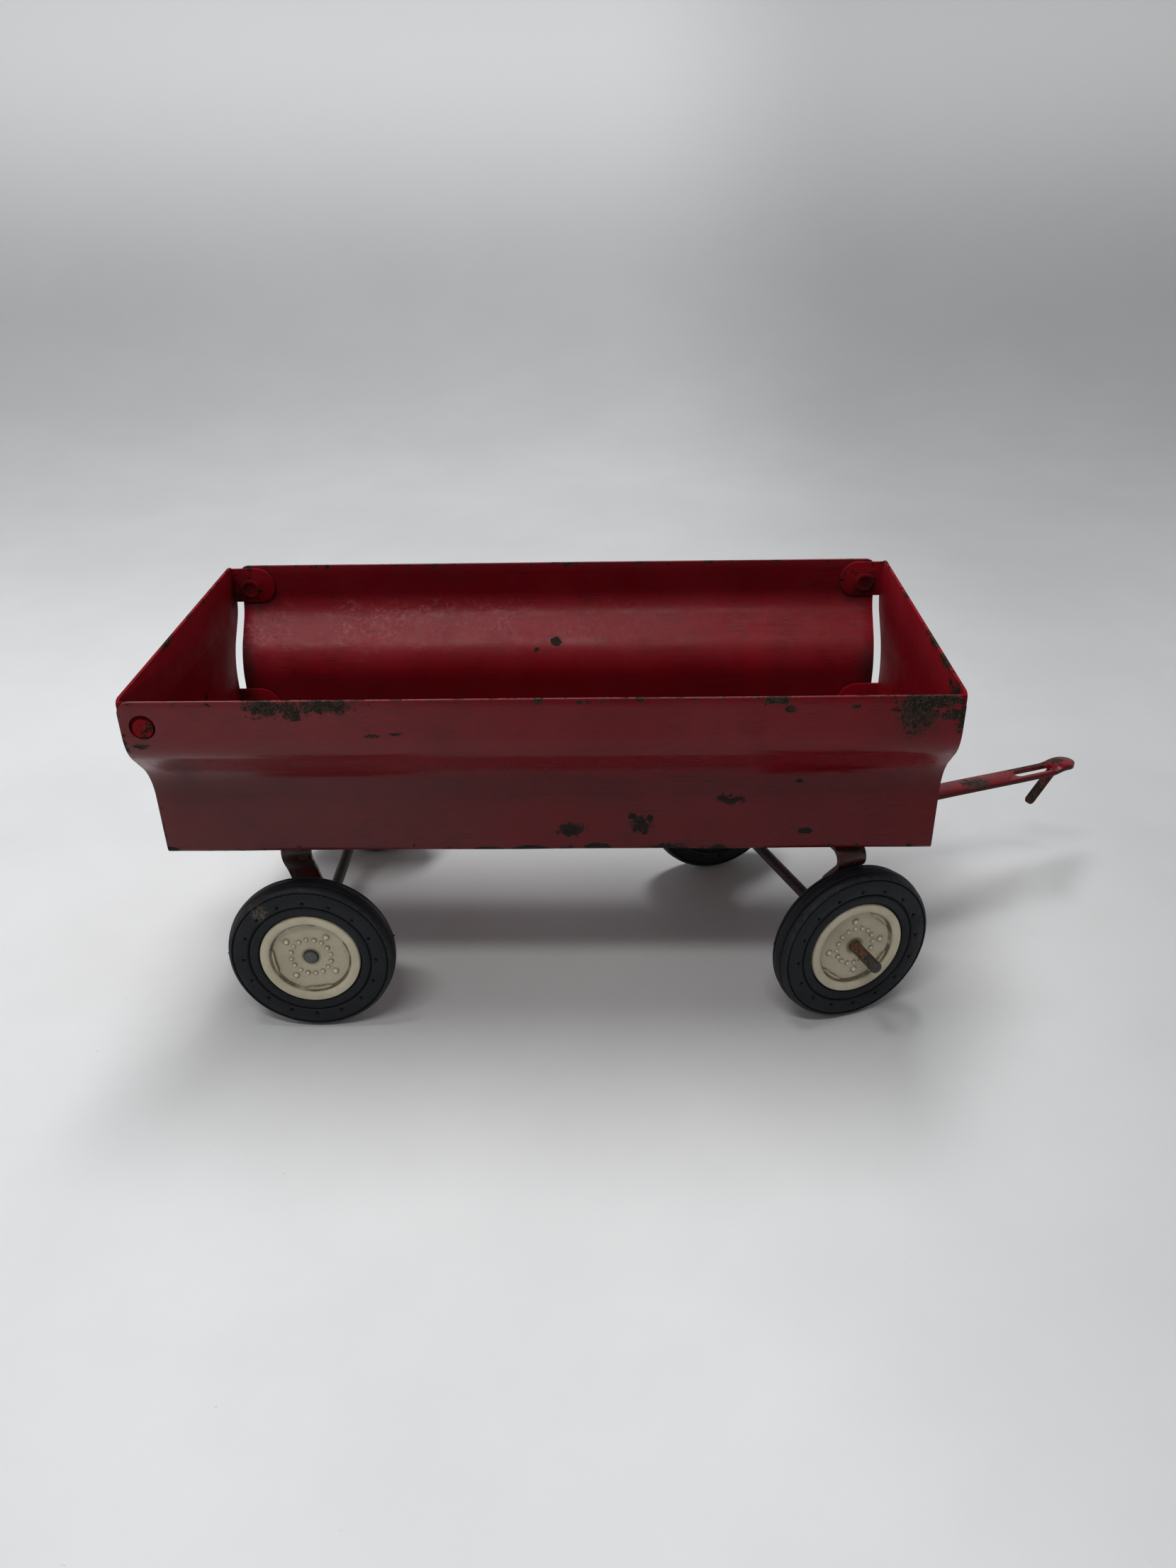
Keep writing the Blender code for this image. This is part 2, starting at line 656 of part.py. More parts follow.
def make_rod(name, y_limits, headed, parent, steel):
    low, high = y_limits
    if headed:
        profile = [
            (0.0, low - ROD_HEAD_H),
            (ROD_HEAD_R * 0.75, low - ROD_HEAD_H),
            (ROD_HEAD_R, low - ROD_HEAD_H * 0.55),
            (ROD_HEAD_R, low),
            (ROD_R, low),
            (ROD_R, high),
            (ROD_HEAD_R, high),
            (ROD_HEAD_R, high + ROD_HEAD_H * 0.55),
            (ROD_HEAD_R * 0.75, high + ROD_HEAD_H),
            (0.0, high + ROD_HEAD_H),
        ]
    else:
        profile = [
            (0.0, low),
            (ROD_R - ROD_CHAMFER, low),
            (ROD_R, low + ROD_CHAMFER),
            (ROD_R, high - ROD_CHAMFER),
            (ROD_R - ROD_CHAMFER, high),
            (0.0, high),
        ]
    bm = turned_bmesh(profile, ROUND_STEPS, about_y)
    return new_object(name, bm, steel, parent)


def hub_profile():
    """Closed profile of (radius, distance inwards from the hub's outer face)."""
    bore = ROD_R + RUN
    lip = HUB_FLANGE_R - 2.1 * MM
    web_back = HUB_DISH + 2.0 * MM
    inner_face = 7.1 * MM
    return [
        (bore, HUB_DISH),
        (lip - 0.7 * MM, HUB_DISH),
        (lip, 0.25 * MM),
        (lip + 0.4 * MM, 0.0),
        (HUB_FLANGE_R - 0.4 * MM, 0.0),
        (HUB_FLANGE_R, 0.4 * MM),
        (HUB_FLANGE_R, 1.4 * MM),
        (HUB_CORE_R, 1.8 * MM),
        (HUB_CORE_R, 5.4 * MM),
        (HUB_FLANGE_R, 5.8 * MM),
        (HUB_FLANGE_R, inner_face),
        (HUB_CORE_R - 1.2 * MM, inner_face),
        (HUB_CORE_R - 1.6 * MM, web_back),
        (HUB_BOSS_R + 0.3 * MM, web_back),
        (HUB_BOSS_R, HUB_LENGTH),
        (bore, HUB_LENGTH),
    ]


def tyre_profile():
    """Closed profile of the tyre: round shoulders outside, a ridge that fills the hub's groove."""
    clear = 0.25 * MM
    seat = HUB_FLANGE_R + clear
    ridge = HUB_CORE_R + clear
    return [
        (seat, 0.5 * MM),
        (seat + 1.4 * MM, -0.1 * MM),
        (TYRE_R - 4.4 * MM, -0.2 * MM),
        (TYRE_R - 1.9 * MM, 0.4 * MM),
        (TYRE_R - 0.6 * MM, 1.4 * MM),
        (TYRE_R, 2.9 * MM),
        (TYRE_R, 4.8 * MM),
        (TYRE_R - 0.6 * MM, 6.3 * MM),
        (TYRE_R - 1.9 * MM, 7.3 * MM),
        (TYRE_R - 4.4 * MM, 7.8 * MM),
        (seat + 1.4 * MM, 7.7 * MM),
        (seat, 7.1 * MM),
        (seat, 5.45 * MM),
        (ridge, 5.05 * MM),
        (ridge, 2.15 * MM),
        (seat, 1.75 * MM),
    ]


def make_wheel(name, parent, face_y, rubber, cream):
    """Hub and tyre about the axle; their own frame is at the hub's outer face, +Y inwards."""
    turn = 0.0 if face_y < 0.0 else math.pi
    place = new_empty(f"{name}_place", parent, (0.0, face_y, 0.0), turn)
    hub_bm = turned_bmesh(hub_profile(), HUB_STEPS, about_y, ring=True)
    new_object(f"{name}_hub", hub_bm, cream, place)
    tyre_bm = turned_bmesh(tyre_profile(), TYRE_STEPS, about_y, ring=True)
    new_object(f"{name}_tyre", tyre_bm, rubber, place)


def make_rear_axle(parent, steel, rubber, cream):
    axle = new_empty("rear_axle_place", parent, (REAR_AXLE_X, 0.0, AXLE_Z))
    seat = HUB_DISH - FIT
    limits = (REAR_RIGHT_FACE_Y + seat, REAR_LEFT_FACE_Y - seat)
    make_rod("rear_axle_rod", limits, True, axle, steel)
    make_wheel("rear_right", axle, REAR_RIGHT_FACE_Y, rubber, cream)
    make_wheel("rear_left", axle, REAR_LEFT_FACE_Y, rubber, cream)


def make_front_axle(steering, steel, rubber, cream):
    axle = new_empty("front_axle_place", steering, (0.0, 0.0, AXLE_Z))
    make_rod("front_axle_rod", FRONT_ROD_Y, False, axle, steel)
    make_wheel("front_right", axle, FRONT_RIGHT_FACE_Y, rubber, cream)
    make_wheel("front_left", axle, FRONT_LEFT_FACE_Y, rubber, cream)


def centre_over_origin(frame):
    """Moves the wagon so that its bounding box stands centred on the world origin."""
    bpy.context.view_layer.update()
    graph = bpy.context.evaluated_depsgraph_get()
    low = Vector((math.inf,) * 3)
    high = Vector((-math.inf,) * 3)
    for item in bpy.context.scene.objects:
        if item.type != "MESH" or item.hide_render:
            continue
        shown = item.evaluated_get(graph)
        for vert in shown.data.vertices:
            point = shown.matrix_world @ vert.co
            low = Vector(map(min, low, point))
            high = Vector(map(max, high, point))
    frame.location = (-(low.x + high.x) / 2.0, -(low.y + high.y) / 2.0, -low.z)


def build():
    clear_scene()
    paint = make_material("red_enamel", (0.36, 0.015, 0.025), 0.35, 0.0)
    steel = make_material("dark_steel", (0.10, 0.05, 0.04), 0.55, 0.6)
    rubber = make_material("black_rubber", (0.02, 0.022, 0.028), 0.75, 0.0)
    cream = make_material("cream_hub", (0.62, 0.56, 0.42), 0.5, 0.0)
    frame = new_empty("wagon_frame", None)
    make_box_body(frame, paint)
    make_end_panel("front_end_panel", 1, frame, paint)
    make_end_panel("rear_end_panel", -1, frame, paint)
    make_rear_bolster(frame, paint)
    make_king_pin(frame, steel)
    steering = new_empty("steering_pivot", frame, (PIVOT_X, 0.0, 0.0), STEER_AT_REST)
    make_front_bolster(steering, paint)
    make_tongue(steering, paint)
    make_rear_axle(frame, steel, rubber, cream)
    make_front_axle(steering, steel, rubber, cream)
    centre_over_origin(frame)


build()
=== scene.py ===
"""Looks of the toy farm wagon: worn enamel, rust, moulded wheels and a plain studio.

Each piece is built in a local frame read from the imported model. The wagon's own has its origin on
the ground below the middle of the box, with +X to the tongue end. The front bolster's has it below
the king pin, turned with the bolster. A wheel's has it on the hub's outer face, with +Y inwards.
Lengths are in metres; the shaders work in millimetres.
"""
import json
import math

import bmesh
import bpy
from mathutils import Matrix, Vector, noise


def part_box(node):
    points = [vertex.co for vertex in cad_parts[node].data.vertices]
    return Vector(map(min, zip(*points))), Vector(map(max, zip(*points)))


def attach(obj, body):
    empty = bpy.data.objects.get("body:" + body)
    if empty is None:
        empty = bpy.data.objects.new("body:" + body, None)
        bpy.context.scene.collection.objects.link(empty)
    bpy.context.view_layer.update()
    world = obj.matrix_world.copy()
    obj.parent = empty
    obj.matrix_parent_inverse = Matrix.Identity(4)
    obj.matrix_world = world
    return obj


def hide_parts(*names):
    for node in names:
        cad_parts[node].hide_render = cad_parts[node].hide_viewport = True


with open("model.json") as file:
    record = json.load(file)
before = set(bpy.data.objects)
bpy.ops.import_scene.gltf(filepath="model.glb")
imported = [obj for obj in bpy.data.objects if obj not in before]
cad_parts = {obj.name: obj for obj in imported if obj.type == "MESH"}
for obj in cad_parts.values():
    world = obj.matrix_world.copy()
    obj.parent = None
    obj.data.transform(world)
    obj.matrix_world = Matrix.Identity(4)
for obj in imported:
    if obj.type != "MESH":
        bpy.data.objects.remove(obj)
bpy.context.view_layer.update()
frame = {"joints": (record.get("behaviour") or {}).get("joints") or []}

MM = 0.001
BOX_LOW, BOX_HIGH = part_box("box_body")
JOINTS = {joint["name"]: joint for joint in frame["joints"]}
WAGON_ORIGIN = Vector(((BOX_LOW.x + BOX_HIGH.x) / 2.0, (BOX_LOW.y + BOX_HIGH.y) / 2.0, 0.0))
FRONT_AXLE_WAY = Vector(JOINTS["front_right_wheel_spin"]["axis"])
STEER_ANGLE = math.atan2(-FRONT_AXLE_WAY.x, FRONT_AXLE_WAY.y)
SWIVEL = Vector(JOINTS["front_bolster_swivel"]["pos_m"])
AXLE_Z = JOINTS["rear_right_wheel_spin"]["pos_m"][2]
REAR_AXLE_X = JOINTS["rear_right_wheel_spin"]["pos_m"][0] - WAGON_ORIGIN.x

WAGON = Matrix.Translation(WAGON_ORIGIN)
STEERED = Matrix.Translation((SWIVEL.x, SWIVEL.y, 0.0)) @ Matrix.Rotation(STEER_ANGLE, 4, "Z")

# Box section, as on the real folded sheet
SHEET = 0.9 * MM
FLOOR_Z = BOX_LOW.z
RIM_Z = BOX_HIGH.z
FLOOR_HALF_WIDTH = 38.2 * MM
RIM_HALF_WIDTH = (BOX_HIGH.y - BOX_LOW.y) / 2.0
FLOOR_BEND_R = 1.5 * MM
LOWER_BEND_R = 15.0 * MM
UPPER_BEND_R = 11.0 * MM
UPPER_BEND_Z = 89.76 * MM
RIGHT_SIDE_END_X = 99.6 * MM
LEFT_SIDE_END_X = 95.8 * MM
RIM_CORNER_R = 3.0 * MM
END_LEAN = 0.249
HALF_BEND = math.pi / 4
BOX_STATIONS = 56
FLOOR_STEPS = 13
LONGEST_STRETCH = 3.8 * MM
FLOOR_DENT_SHARE = 0.3
DENT_FADE_START = 0.085
DENT_FADE_LENGTH = 0.015
LEAST_DENT_SHARE = 0.15

PANEL_OUTER_X = 99.15 * MM
PANEL_SKEW = -0.0145    # the panels close in towards the left side by this share of Y
PANEL_THICK = 0.8 * MM
PANEL_TOP_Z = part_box("front_end_panel")[1].z
PANEL_CLEAR = 0.35 * MM
PANEL_CHAMFER_Y = 2.0 * MM
PANEL_CHAMFER_Z = 1.3 * MM
EAR_TIP_X = 86.0 * MM
EAR_GAP = 0.05 * MM
UPPER_EAR_Z = (87.7 * MM, 98.0 * MM)
LOWER_EAR_Z = (51.6 * MM, 64.0 * MM)
BUTTON_X = 93.5 * MM
BUTTON_Z = 91.7 * MM
BUTTON_R = 2.55 * MM
BUTTON_HOLE_R = 3.15 * MM
BUTTON_HOLE_RISE = 0.45 * MM
BUTTON_CORNERS = ((-1, -1), (-1, 1), (1, 1))

STRAP_THICK = 1.2 * MM
STRAP_HALF_WIDTH = 4.0 * MM
LEG_BACK_BEND_R = 5.0 * MM
CRANK_END_Z = 29.5 * MM
REAR_BOLSTER_X = REAR_AXLE_X - 3.5 * MM
PIN_HOLE_R = 2.07 * MM
RIVET_HOLE_R = 1.47 * MM
ROD_HOLE_R = 1.6575 * MM
REAR_RIVET_Y = 13.0 * MM
TONGUE_RIVET_Y = 7.6 * MM

TONGUE_THICK = 1.25 * MM
TONGUE_HALF_WIDTH = 3.4 * MM
TONGUE_ROOT_HALF_WIDTH = 11.0 * MM
TONGUE_ROOT_REACH = 3.9 * MM
TONGUE_ROOT_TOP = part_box("tongue")[1].z
TONGUE_TOP_Z = 36.2 * MM
TONGUE_STEP_ANGLE = math.radians(38.0)
TONGUE_BEND_R = 3.0 * MM
TONGUE_REACH = 101.8 * MM
TONGUE_TIP_RISE = 1.0 * MM
SLOT_START = 80.6 * MM
SLOT_END = 94.0 * MM
SLOT_HALF_WIDTH = 1.7 * MM
HOOK_ROOT = 96.4 * MM
HOOK_TIP = (87.6 * MM, 24.6 * MM)
HOOK_BEND = (95.0 * MM, 34.4 * MM)
HOOK_THICK = 1.15 * MM
HOOK_HALF_WIDTH = 1.45 * MM

EDGE_ROUND = 0.13 * MM
SMOOTH_ANGLE = math.radians(32.0)
BEVEL_ANGLE = math.radians(40.0)
ROD_SHARP_ANGLE = math.radians(40.0)
RIVET_SHARP_ANGLE = math.radians(45.0)
DRILL_HALF_LENGTH = 4.0 * MM
ROUND_STEPS = 40

# Wheel relief, in millimetres and degrees
SMALL_STUDS = 16
SMALL_STUD_REACH = 5.35
BIG_STUDS = 4
BIG_STUD_REACH = 7.6
CRESCENT_SPAN = 44.0
PITS = 16
PIT_REACH = 17.55

# Camera, in the wagon's own frame
CAMERA_AT = Vector((19.40 * MM, -330.86 * MM, 224.21 * MM))
CAMERA_PITCH = 0.4854
CAMERA_YAW = 0.0288
CAMERA_ROLL = -0.0205
CAMERA_LENS = 30.285

# Studio, from the wagon's origin
FRONT_LAMP_AT = (-0.24, -0.80, 1.38)
UPPER_LAMP_AT = (-0.12, 0.27, 1.53)
TABLE_FLAT_R = 0.55
TABLE_SWEEP_R = 0.50
TABLE_TOP_Z = 0.75


# ---------------------------------------------------------------- geometry helpers

def arc(centre, radius, start, end, steps):
    points = []
    for i in range(steps + 1):
        angle = start + (end - start) * i / steps
        points.append((centre[0] + radius * math.cos(angle), centre[1] + radius * math.sin(angle)))
    return points


def offset_path(points, distance):
    """The path moved sideways, to its left, with mitred corners."""
    normals = []
    for (u0, v0), (u1, v1) in zip(points, points[1:]):
        run = math.hypot(u1 - u0, v1 - v0)
        normals.append(((v0 - v1) / run, (u1 - u0) / run))
    moved = []
    for i, (u, v) in enumerate(points):
        before = normals[max(i - 1, 0)]
        after = normals[min(i, len(normals) - 1)]
        scale = distance / (1.0 + before[0] * after[0] + before[1] * after[1])
        moved.append((u + scale * (before[0] + after[0]), v + scale * (before[1] + after[1])))
    return moved


def divided(points, longest):
    """The path with its long straight stretches divided into shorter ones."""
    made = [points[0]]
    for (u0, v0), (u1, v1) in zip(points, points[1:]):
        count = max(1, math.ceil(math.hypot(u1 - u0, v1 - v0) / longest))
        for i in range(1, count + 1):
            made.append((u0 + (u1 - u0) * i / count, v0 + (v1 - v0) * i / count))
    return made


def softened(ring):
    """Corner cutting, which rounds a closed profile."""
    made = []
    for (u0, v0), (u1, v1) in zip(ring, ring[1:] + ring[:1]):
        made.append((0.75 * u0 + 0.25 * u1, 0.75 * v0 + 0.25 * v1))
        made.append((0.25 * u0 + 0.75 * u1, 0.25 * v0 + 0.75 * v1))
    return made


def strip_bmesh(outer, inner, ends, place):
    """A bent sheet between two matched paths; ends gives each point's two limits across it."""
    bm = bmesh.new()
    rows = []
    for path in (outer, inner):
        for side in (0, 1):
            rows.append([bm.verts.new(place(u, v, ends[i][side])) for i, (u, v) in enumerate(path)])
    ring = (rows[0], rows[1], rows[3], rows[2])
    for k in range(4):
        one = ring[k]
        two = ring[(k + 1) % 4]
        for i in range(len(outer) - 1):
            bm.faces.new((one[i], one[i + 1], two[i + 1], two[i]))
    for i in (0, len(outer) - 1):
        bm.faces.new([row[i] for row in ring])
    return bm


def prism_bmesh(outline, low, high, place):
    bm = bmesh.new()
    bottom = [bm.verts.new(place(u, v, low)) for u, v in outline]
    top = [bm.verts.new(place(u, v, high)) for u, v in outline]
    bm.faces.new(bottom)
    bm.faces.new(top)
    count = len(outline)
    for i in range(count):
        j = (i + 1) % count
        bm.faces.new((bottom[i], bottom[j], top[j], top[i]))
    return bm


def turned_bmesh(profile, angles, place, ring=False, shift=None):
    """A profile of (radius, along) turned through the given angles; shift may move each point."""
    bm = bmesh.new()
    circles = []
    for radius, along in profile:
        circle = []
        for angle in angles if radius > 0.0 else angles[:1]:
            r, t = shift(radius, along, angle) if shift else (radius, along)
            circle.append(bm.verts.new(place(r * math.cos(angle), r * math.sin(angle), t)))
        circles.append(circle)
    pairs = list(zip(circles, circles[1:]))
    if ring:
        pairs.append((circles[-1], circles[0]))
    count = len(angles)
    for one, two in pairs:
        for i in range(count):
            j = (i + 1) % count
            corners = [one[i % len(one)], one[j % len(one)], two[j % len(two)], two[i % len(two)]]
            bm.faces.new(list(dict.fromkeys(corners)))
    return bm


def even_angles(steps):
    return [2.0 * math.pi * i / steps for i in range(steps)]


def across_x(u, v, w):
    return (w, u, v)


def across_y(u, v, w):
    return (u, w, v)


def about_y(a, b, along):
    return (a, along, b)


def about_z(a, b, along):
    return (a, b, along)


def linked(name, data):
    made = bpy.data.objects.new(name, data)
    bpy.context.scene.collection.objects.link(made)
    return made


def mesh_object(name, bm, material):
    bmesh.ops.recalc_face_normals(bm, faces=bm.faces)
    mesh = bpy.data.meshes.new(name)
    bm.to_mesh(mesh)
    bm.free()
    mesh.materials.append(material)
    mesh.shade_smooth()
    return linked(name, mesh)


def boolean(target, tool, operation):
    modifier = target.modifiers.new(tool.name, "BOOLEAN")
    modifier.operation = operation
    modifier.solver = "EXACT"
    modifier.object = tool


def drill(target, radius, centre, place, half_length=DRILL_HALF_LENGTH):
    low, high = -half_length, half_length
    profile = [(0.0, low), (radius, low), (radius, high), (0.0, high)]
    bm = turned_bmesh(profile, even_angles(ROUND_STEPS), place)
    bmesh.ops.translate(bm, verts=bm.verts, vec=Vector(centre))
    boolean(target, mesh_object("tool", bm, target.data.materials[0]), "DIFFERENCE")


def drill_rivet_holes(target, x, y, z):
    """Two rivet holes, one each side of the middle."""
    for sign in (1, -1):
        drill(target, RIVET_HOLE_R, (x, sign * y, z), about_z)


def finished(target, edge=EDGE_ROUND):
    """Applies the boolean steps, rounds the sharp edges a little and sets the shading."""
    bevel = target.modifiers.new("edge_round", "BEVEL")
    bevel.width = edge
    bevel.segments = 2
    bevel.limit_method = "ANGLE"
    bevel.angle_limit = BEVEL_ANGLE
    bevel.use_clamp_overlap = True
    bpy.context.view_layer.update()
    graph = bpy.context.evaluated_depsgraph_get()
    mesh = bpy.data.meshes.new_from_object(target.evaluated_get(graph))
    tools = [m.object for m in target.modifiers if m.type == "BOOLEAN"]
    target.modifiers.clear()
    target.data = mesh
    mesh.name = target.name
    mesh.shade_smooth()
    mesh.set_sharp_from_angle(angle=SMOOTH_ANGLE)
    for tool in tools:
        bpy.data.objects.remove(tool, do_unlink=True)
    return target


def join(name, pieces):
    """Joins the meshes of several objects that share a frame into the first."""
    bm = bmesh.new()
    for item in pieces:
        bm.from_mesh(item.data)
    material = pieces[0].data.materials[0]
    smooth = [face.smooth for face in bm.faces]
    mesh = bpy.data.meshes.new(name)
    bm.to_mesh(mesh)
    bm.free()
    mesh.materials.append(material)
    mesh.polygons.foreach_set("use_smooth", smooth)
    mesh.set_sharp_from_angle(angle=SMOOTH_ANGLE)
    for item in pieces:
        bpy.data.objects.remove(item, do_unlink=True)
    return linked(name, mesh)


def settle(piece, place, body, slot, *nodes, square=False):
    """Puts a piece in its place on its body, in the stead of its CAD nodes.

    A square piece has its turn in its mesh, so that its own box is as tight as its shape.
    """
    if square:
        turn = place.to_3x3().to_4x4()
        piece.data.transform(turn)
        place = place @ turn.inverted()
    piece.matrix_world = place
    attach(piece, body)
    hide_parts(*nodes)


# ---------------------------------------------------------------- shader helpers

class Value:
    """A shader socket that can stand in a sum; each operator adds a node."""

    def __init__(self, shader, socket):
        self.shader = shader
        self.socket = socket

    def __add__(self, other):
        return self.shader.math("ADD", self, other)

    def __sub__(self, other):
        return self.shader.math("SUBTRACT", self, other)

    def __rsub__(self, other):
        return self.shader.math("SUBTRACT", other, self)

    def __mul__(self, other):
        return self.shader.math("MULTIPLY", self, other)

    def __pow__(self, other):
        return self.shader.math("POWER", self, other)

    def __abs__(self):
        return self.shader.math("ABSOLUTE", self)


class Shader:
    """A material under construction. Its point value gives the local place in millimetres.

    turn is how far the frame it describes is turned about Z inside the object's own axes.
    """

    def __init__(self, name, turn=0.0):
        self.material = bpy.data.materials.new(name)
        self.material.use_nodes = True
        self.tree = self.material.node_tree
        place = self.node("TexCoord", "Object", {})
        self.point = self.vector("SCALE", place, scale=1000.0)
        if turn:
            self.point = self.turned((0.0, 0.0, -turn), (1.0, 1.0, 1.0))
        parts = self.tree.nodes.new("ShaderNodeSeparateXYZ")
        self.feed(self.point, parts.inputs[0])
        self.x, self.y, self.z = (Value(self, part) for part in parts.outputs)

    def feed(self, value, socket):
        if isinstance(value, Value):
            self.tree.links.new(value.socket, socket)
        elif socket.type == "RGBA" and len(value) == 3:
            socket.default_value = (*value, 1.0)
        else:
            socket.default_value = value

    def node(self, kind, output, inputs, **settings):
        """Adds a node with these settings, feeds its inputs and gives one of its outputs."""
        made = self.tree.nodes.new("ShaderNode" + kind)
        for name, value in settings.items():
            setattr(made, name, value)
        for name, value in inputs.items():
            self.feed(value, made.inputs[name])
        return Value(self, made.outputs[output])

    def math(self, operation, one, two=0.0):
        return self.node("Math", 0, {0: one, 1: two}, operation=operation)

    def vector(self, operation, one, two=(0.0, 0.0, 0.0), scale=None):
        output = "Value" if operation == "LENGTH" else "Vector"
        inputs = {0: one, 1: two} if scale is None else {0: one, "Scale": scale}
        return self.node("VectorMath", output, inputs, operation=operation)

    def turned(self, angles, scale, offset=(0.0, 0.0, 0.0)):
        inputs = {"Vector": self.point, "Rotation": angles, "Scale": scale, "Location": offset}
        return self.node("Mapping", 0, inputs)

    def noise(self, scale, detail=4.0, roughness=0.55, at=None, output="Fac", distortion=0.0):
        """Noise with features of about 1/scale millimetres."""
        inputs = {"Vector": at or self.point, "Scale": scale, "Detail": detail}
        inputs.update({"Roughness": roughness, "Distortion": distortion})
        return self.node("TexNoise", output, inputs)

    def step(self, value, low, high, out_low=0.0, out_high=1.0):
        """Smooth step from low to high."""
        inputs = {"Value": value, "From Min": low, "From Max": high}
        inputs.update({"To Min": out_low, "To Max": out_high})
        return self.node("MapRange", "Result", inputs, interpolation_type="SMOOTHSTEP")

    def patches(self, scale, detail, roughness, low, high, out_low=0.0, out_high=1.0):
        """Noise taken through a smooth step."""
        return self.step(self.noise(scale, detail, roughness), low, high, out_low, out_high)

    def mix(self, share, one, two):
        return self.node("Mix", 2, {0: share, 6: one, 7: two}, data_type="RGBA")

    def highest(self, *values):
        best = values[0]
        for value in values[1:]:
            best = self.math("MAXIMUM", best, value)
        return best

    def spots(self, places, at):
        """Above zero inside each (centre, radii) ellipsoid, one at its middle."""
        values = []
        for centre, radii in places:
            away = self.vector("DIVIDE", self.vector("SUBTRACT", at, centre), radii)
            values.append(1.0 - self.vector("LENGTH", away))
        return self.highest(*values)

    def shaken(self, scale, reach, detail=5.0, roughness=0.6):
        """The point moved about by noise, which makes the outlines of spots ragged."""
        wander = self.noise(scale, detail, roughness, output="Color")
        centred = self.vector("SUBTRACT", wander, (0.5, 0.5, 0.5))
        return self.vector("ADD", self.point, self.vector("SCALE", centred, scale=reach))

    def bump(self, height, distance, under=None):
        inputs = {"Distance": distance, "Height": height}
        if under:
            inputs["Normal"] = under
        return self.node("Bump", "Normal", inputs)

    def finish(self, **values):
        """Feeds the surface and gives the material; colour is its base colour."""
        names = {"colour": "Base Color", "specular": "Specular IOR Level"}
        surface = self.tree.nodes["Principled BSDF"]
        for name, value in values.items():
            self.feed(value, surface.inputs[names.get(name, name.title())])
        return self.material


# ---------------------------------------------------------------- materials

RUST_DARK = (0.0075, 0.0050, 0.0040)
RUST_BROWN = (0.030, 0.015, 0.010)
RUST_OLIVE = (0.066, 0.044, 0.026)
RUST_ORANGE = (0.120, 0.045, 0.018)
BLACK = (0.0, 0.0, 0.0)
PANEL_DULLNESS = 0.42


def rust_colour(shader, olive=0.5):
    """Mottled rust; olive is the share of the paler brown."""
    colour = shader.mix(shader.patches(0.55, 5.0, 0.6, 0.40, 0.62), RUST_DARK, RUST_BROWN)
    pale = shader.patches(2.2, 4.0, 0.65, 0.62 - 0.22 * olive, 0.80 - 0.2 * olive)
    colour = shader.mix(pale, colour, RUST_OLIVE)
    specks = shader.patches(3.1, 3.0, 0.6, 0.66, 0.74)
    return shader.mix(specks * 0.6, colour, RUST_ORANGE)


def scratches(shader, directions, width):
    """Fine straight scratches in several directions of the panel's plane."""
    values = []
    for i, angle in enumerate(directions):
        turn = (0.0, math.radians(angle), 0.0)
        at = shader.turned(turn, (0.035, 1.0, 2.6), (3.7 * i, 1.3 * i, 8.1 * i))
        streak = shader.noise(1.0, 2.0, 0.5, at=at)
        away = abs(streak - 0.5)
        line = shader.step(away, 0.0, width, 1.0, 0.0)
        moved = shader.turned((0, 0, 0), (1, 1, 1), (9.0 * i, 0, 0))
        region = shader.noise(0.06 + 0.013 * i, 2.0, 0.5, at=moved)
        values.append(line * shader.step(region, 0.52, 0.66))
    return shader.highest(*values)


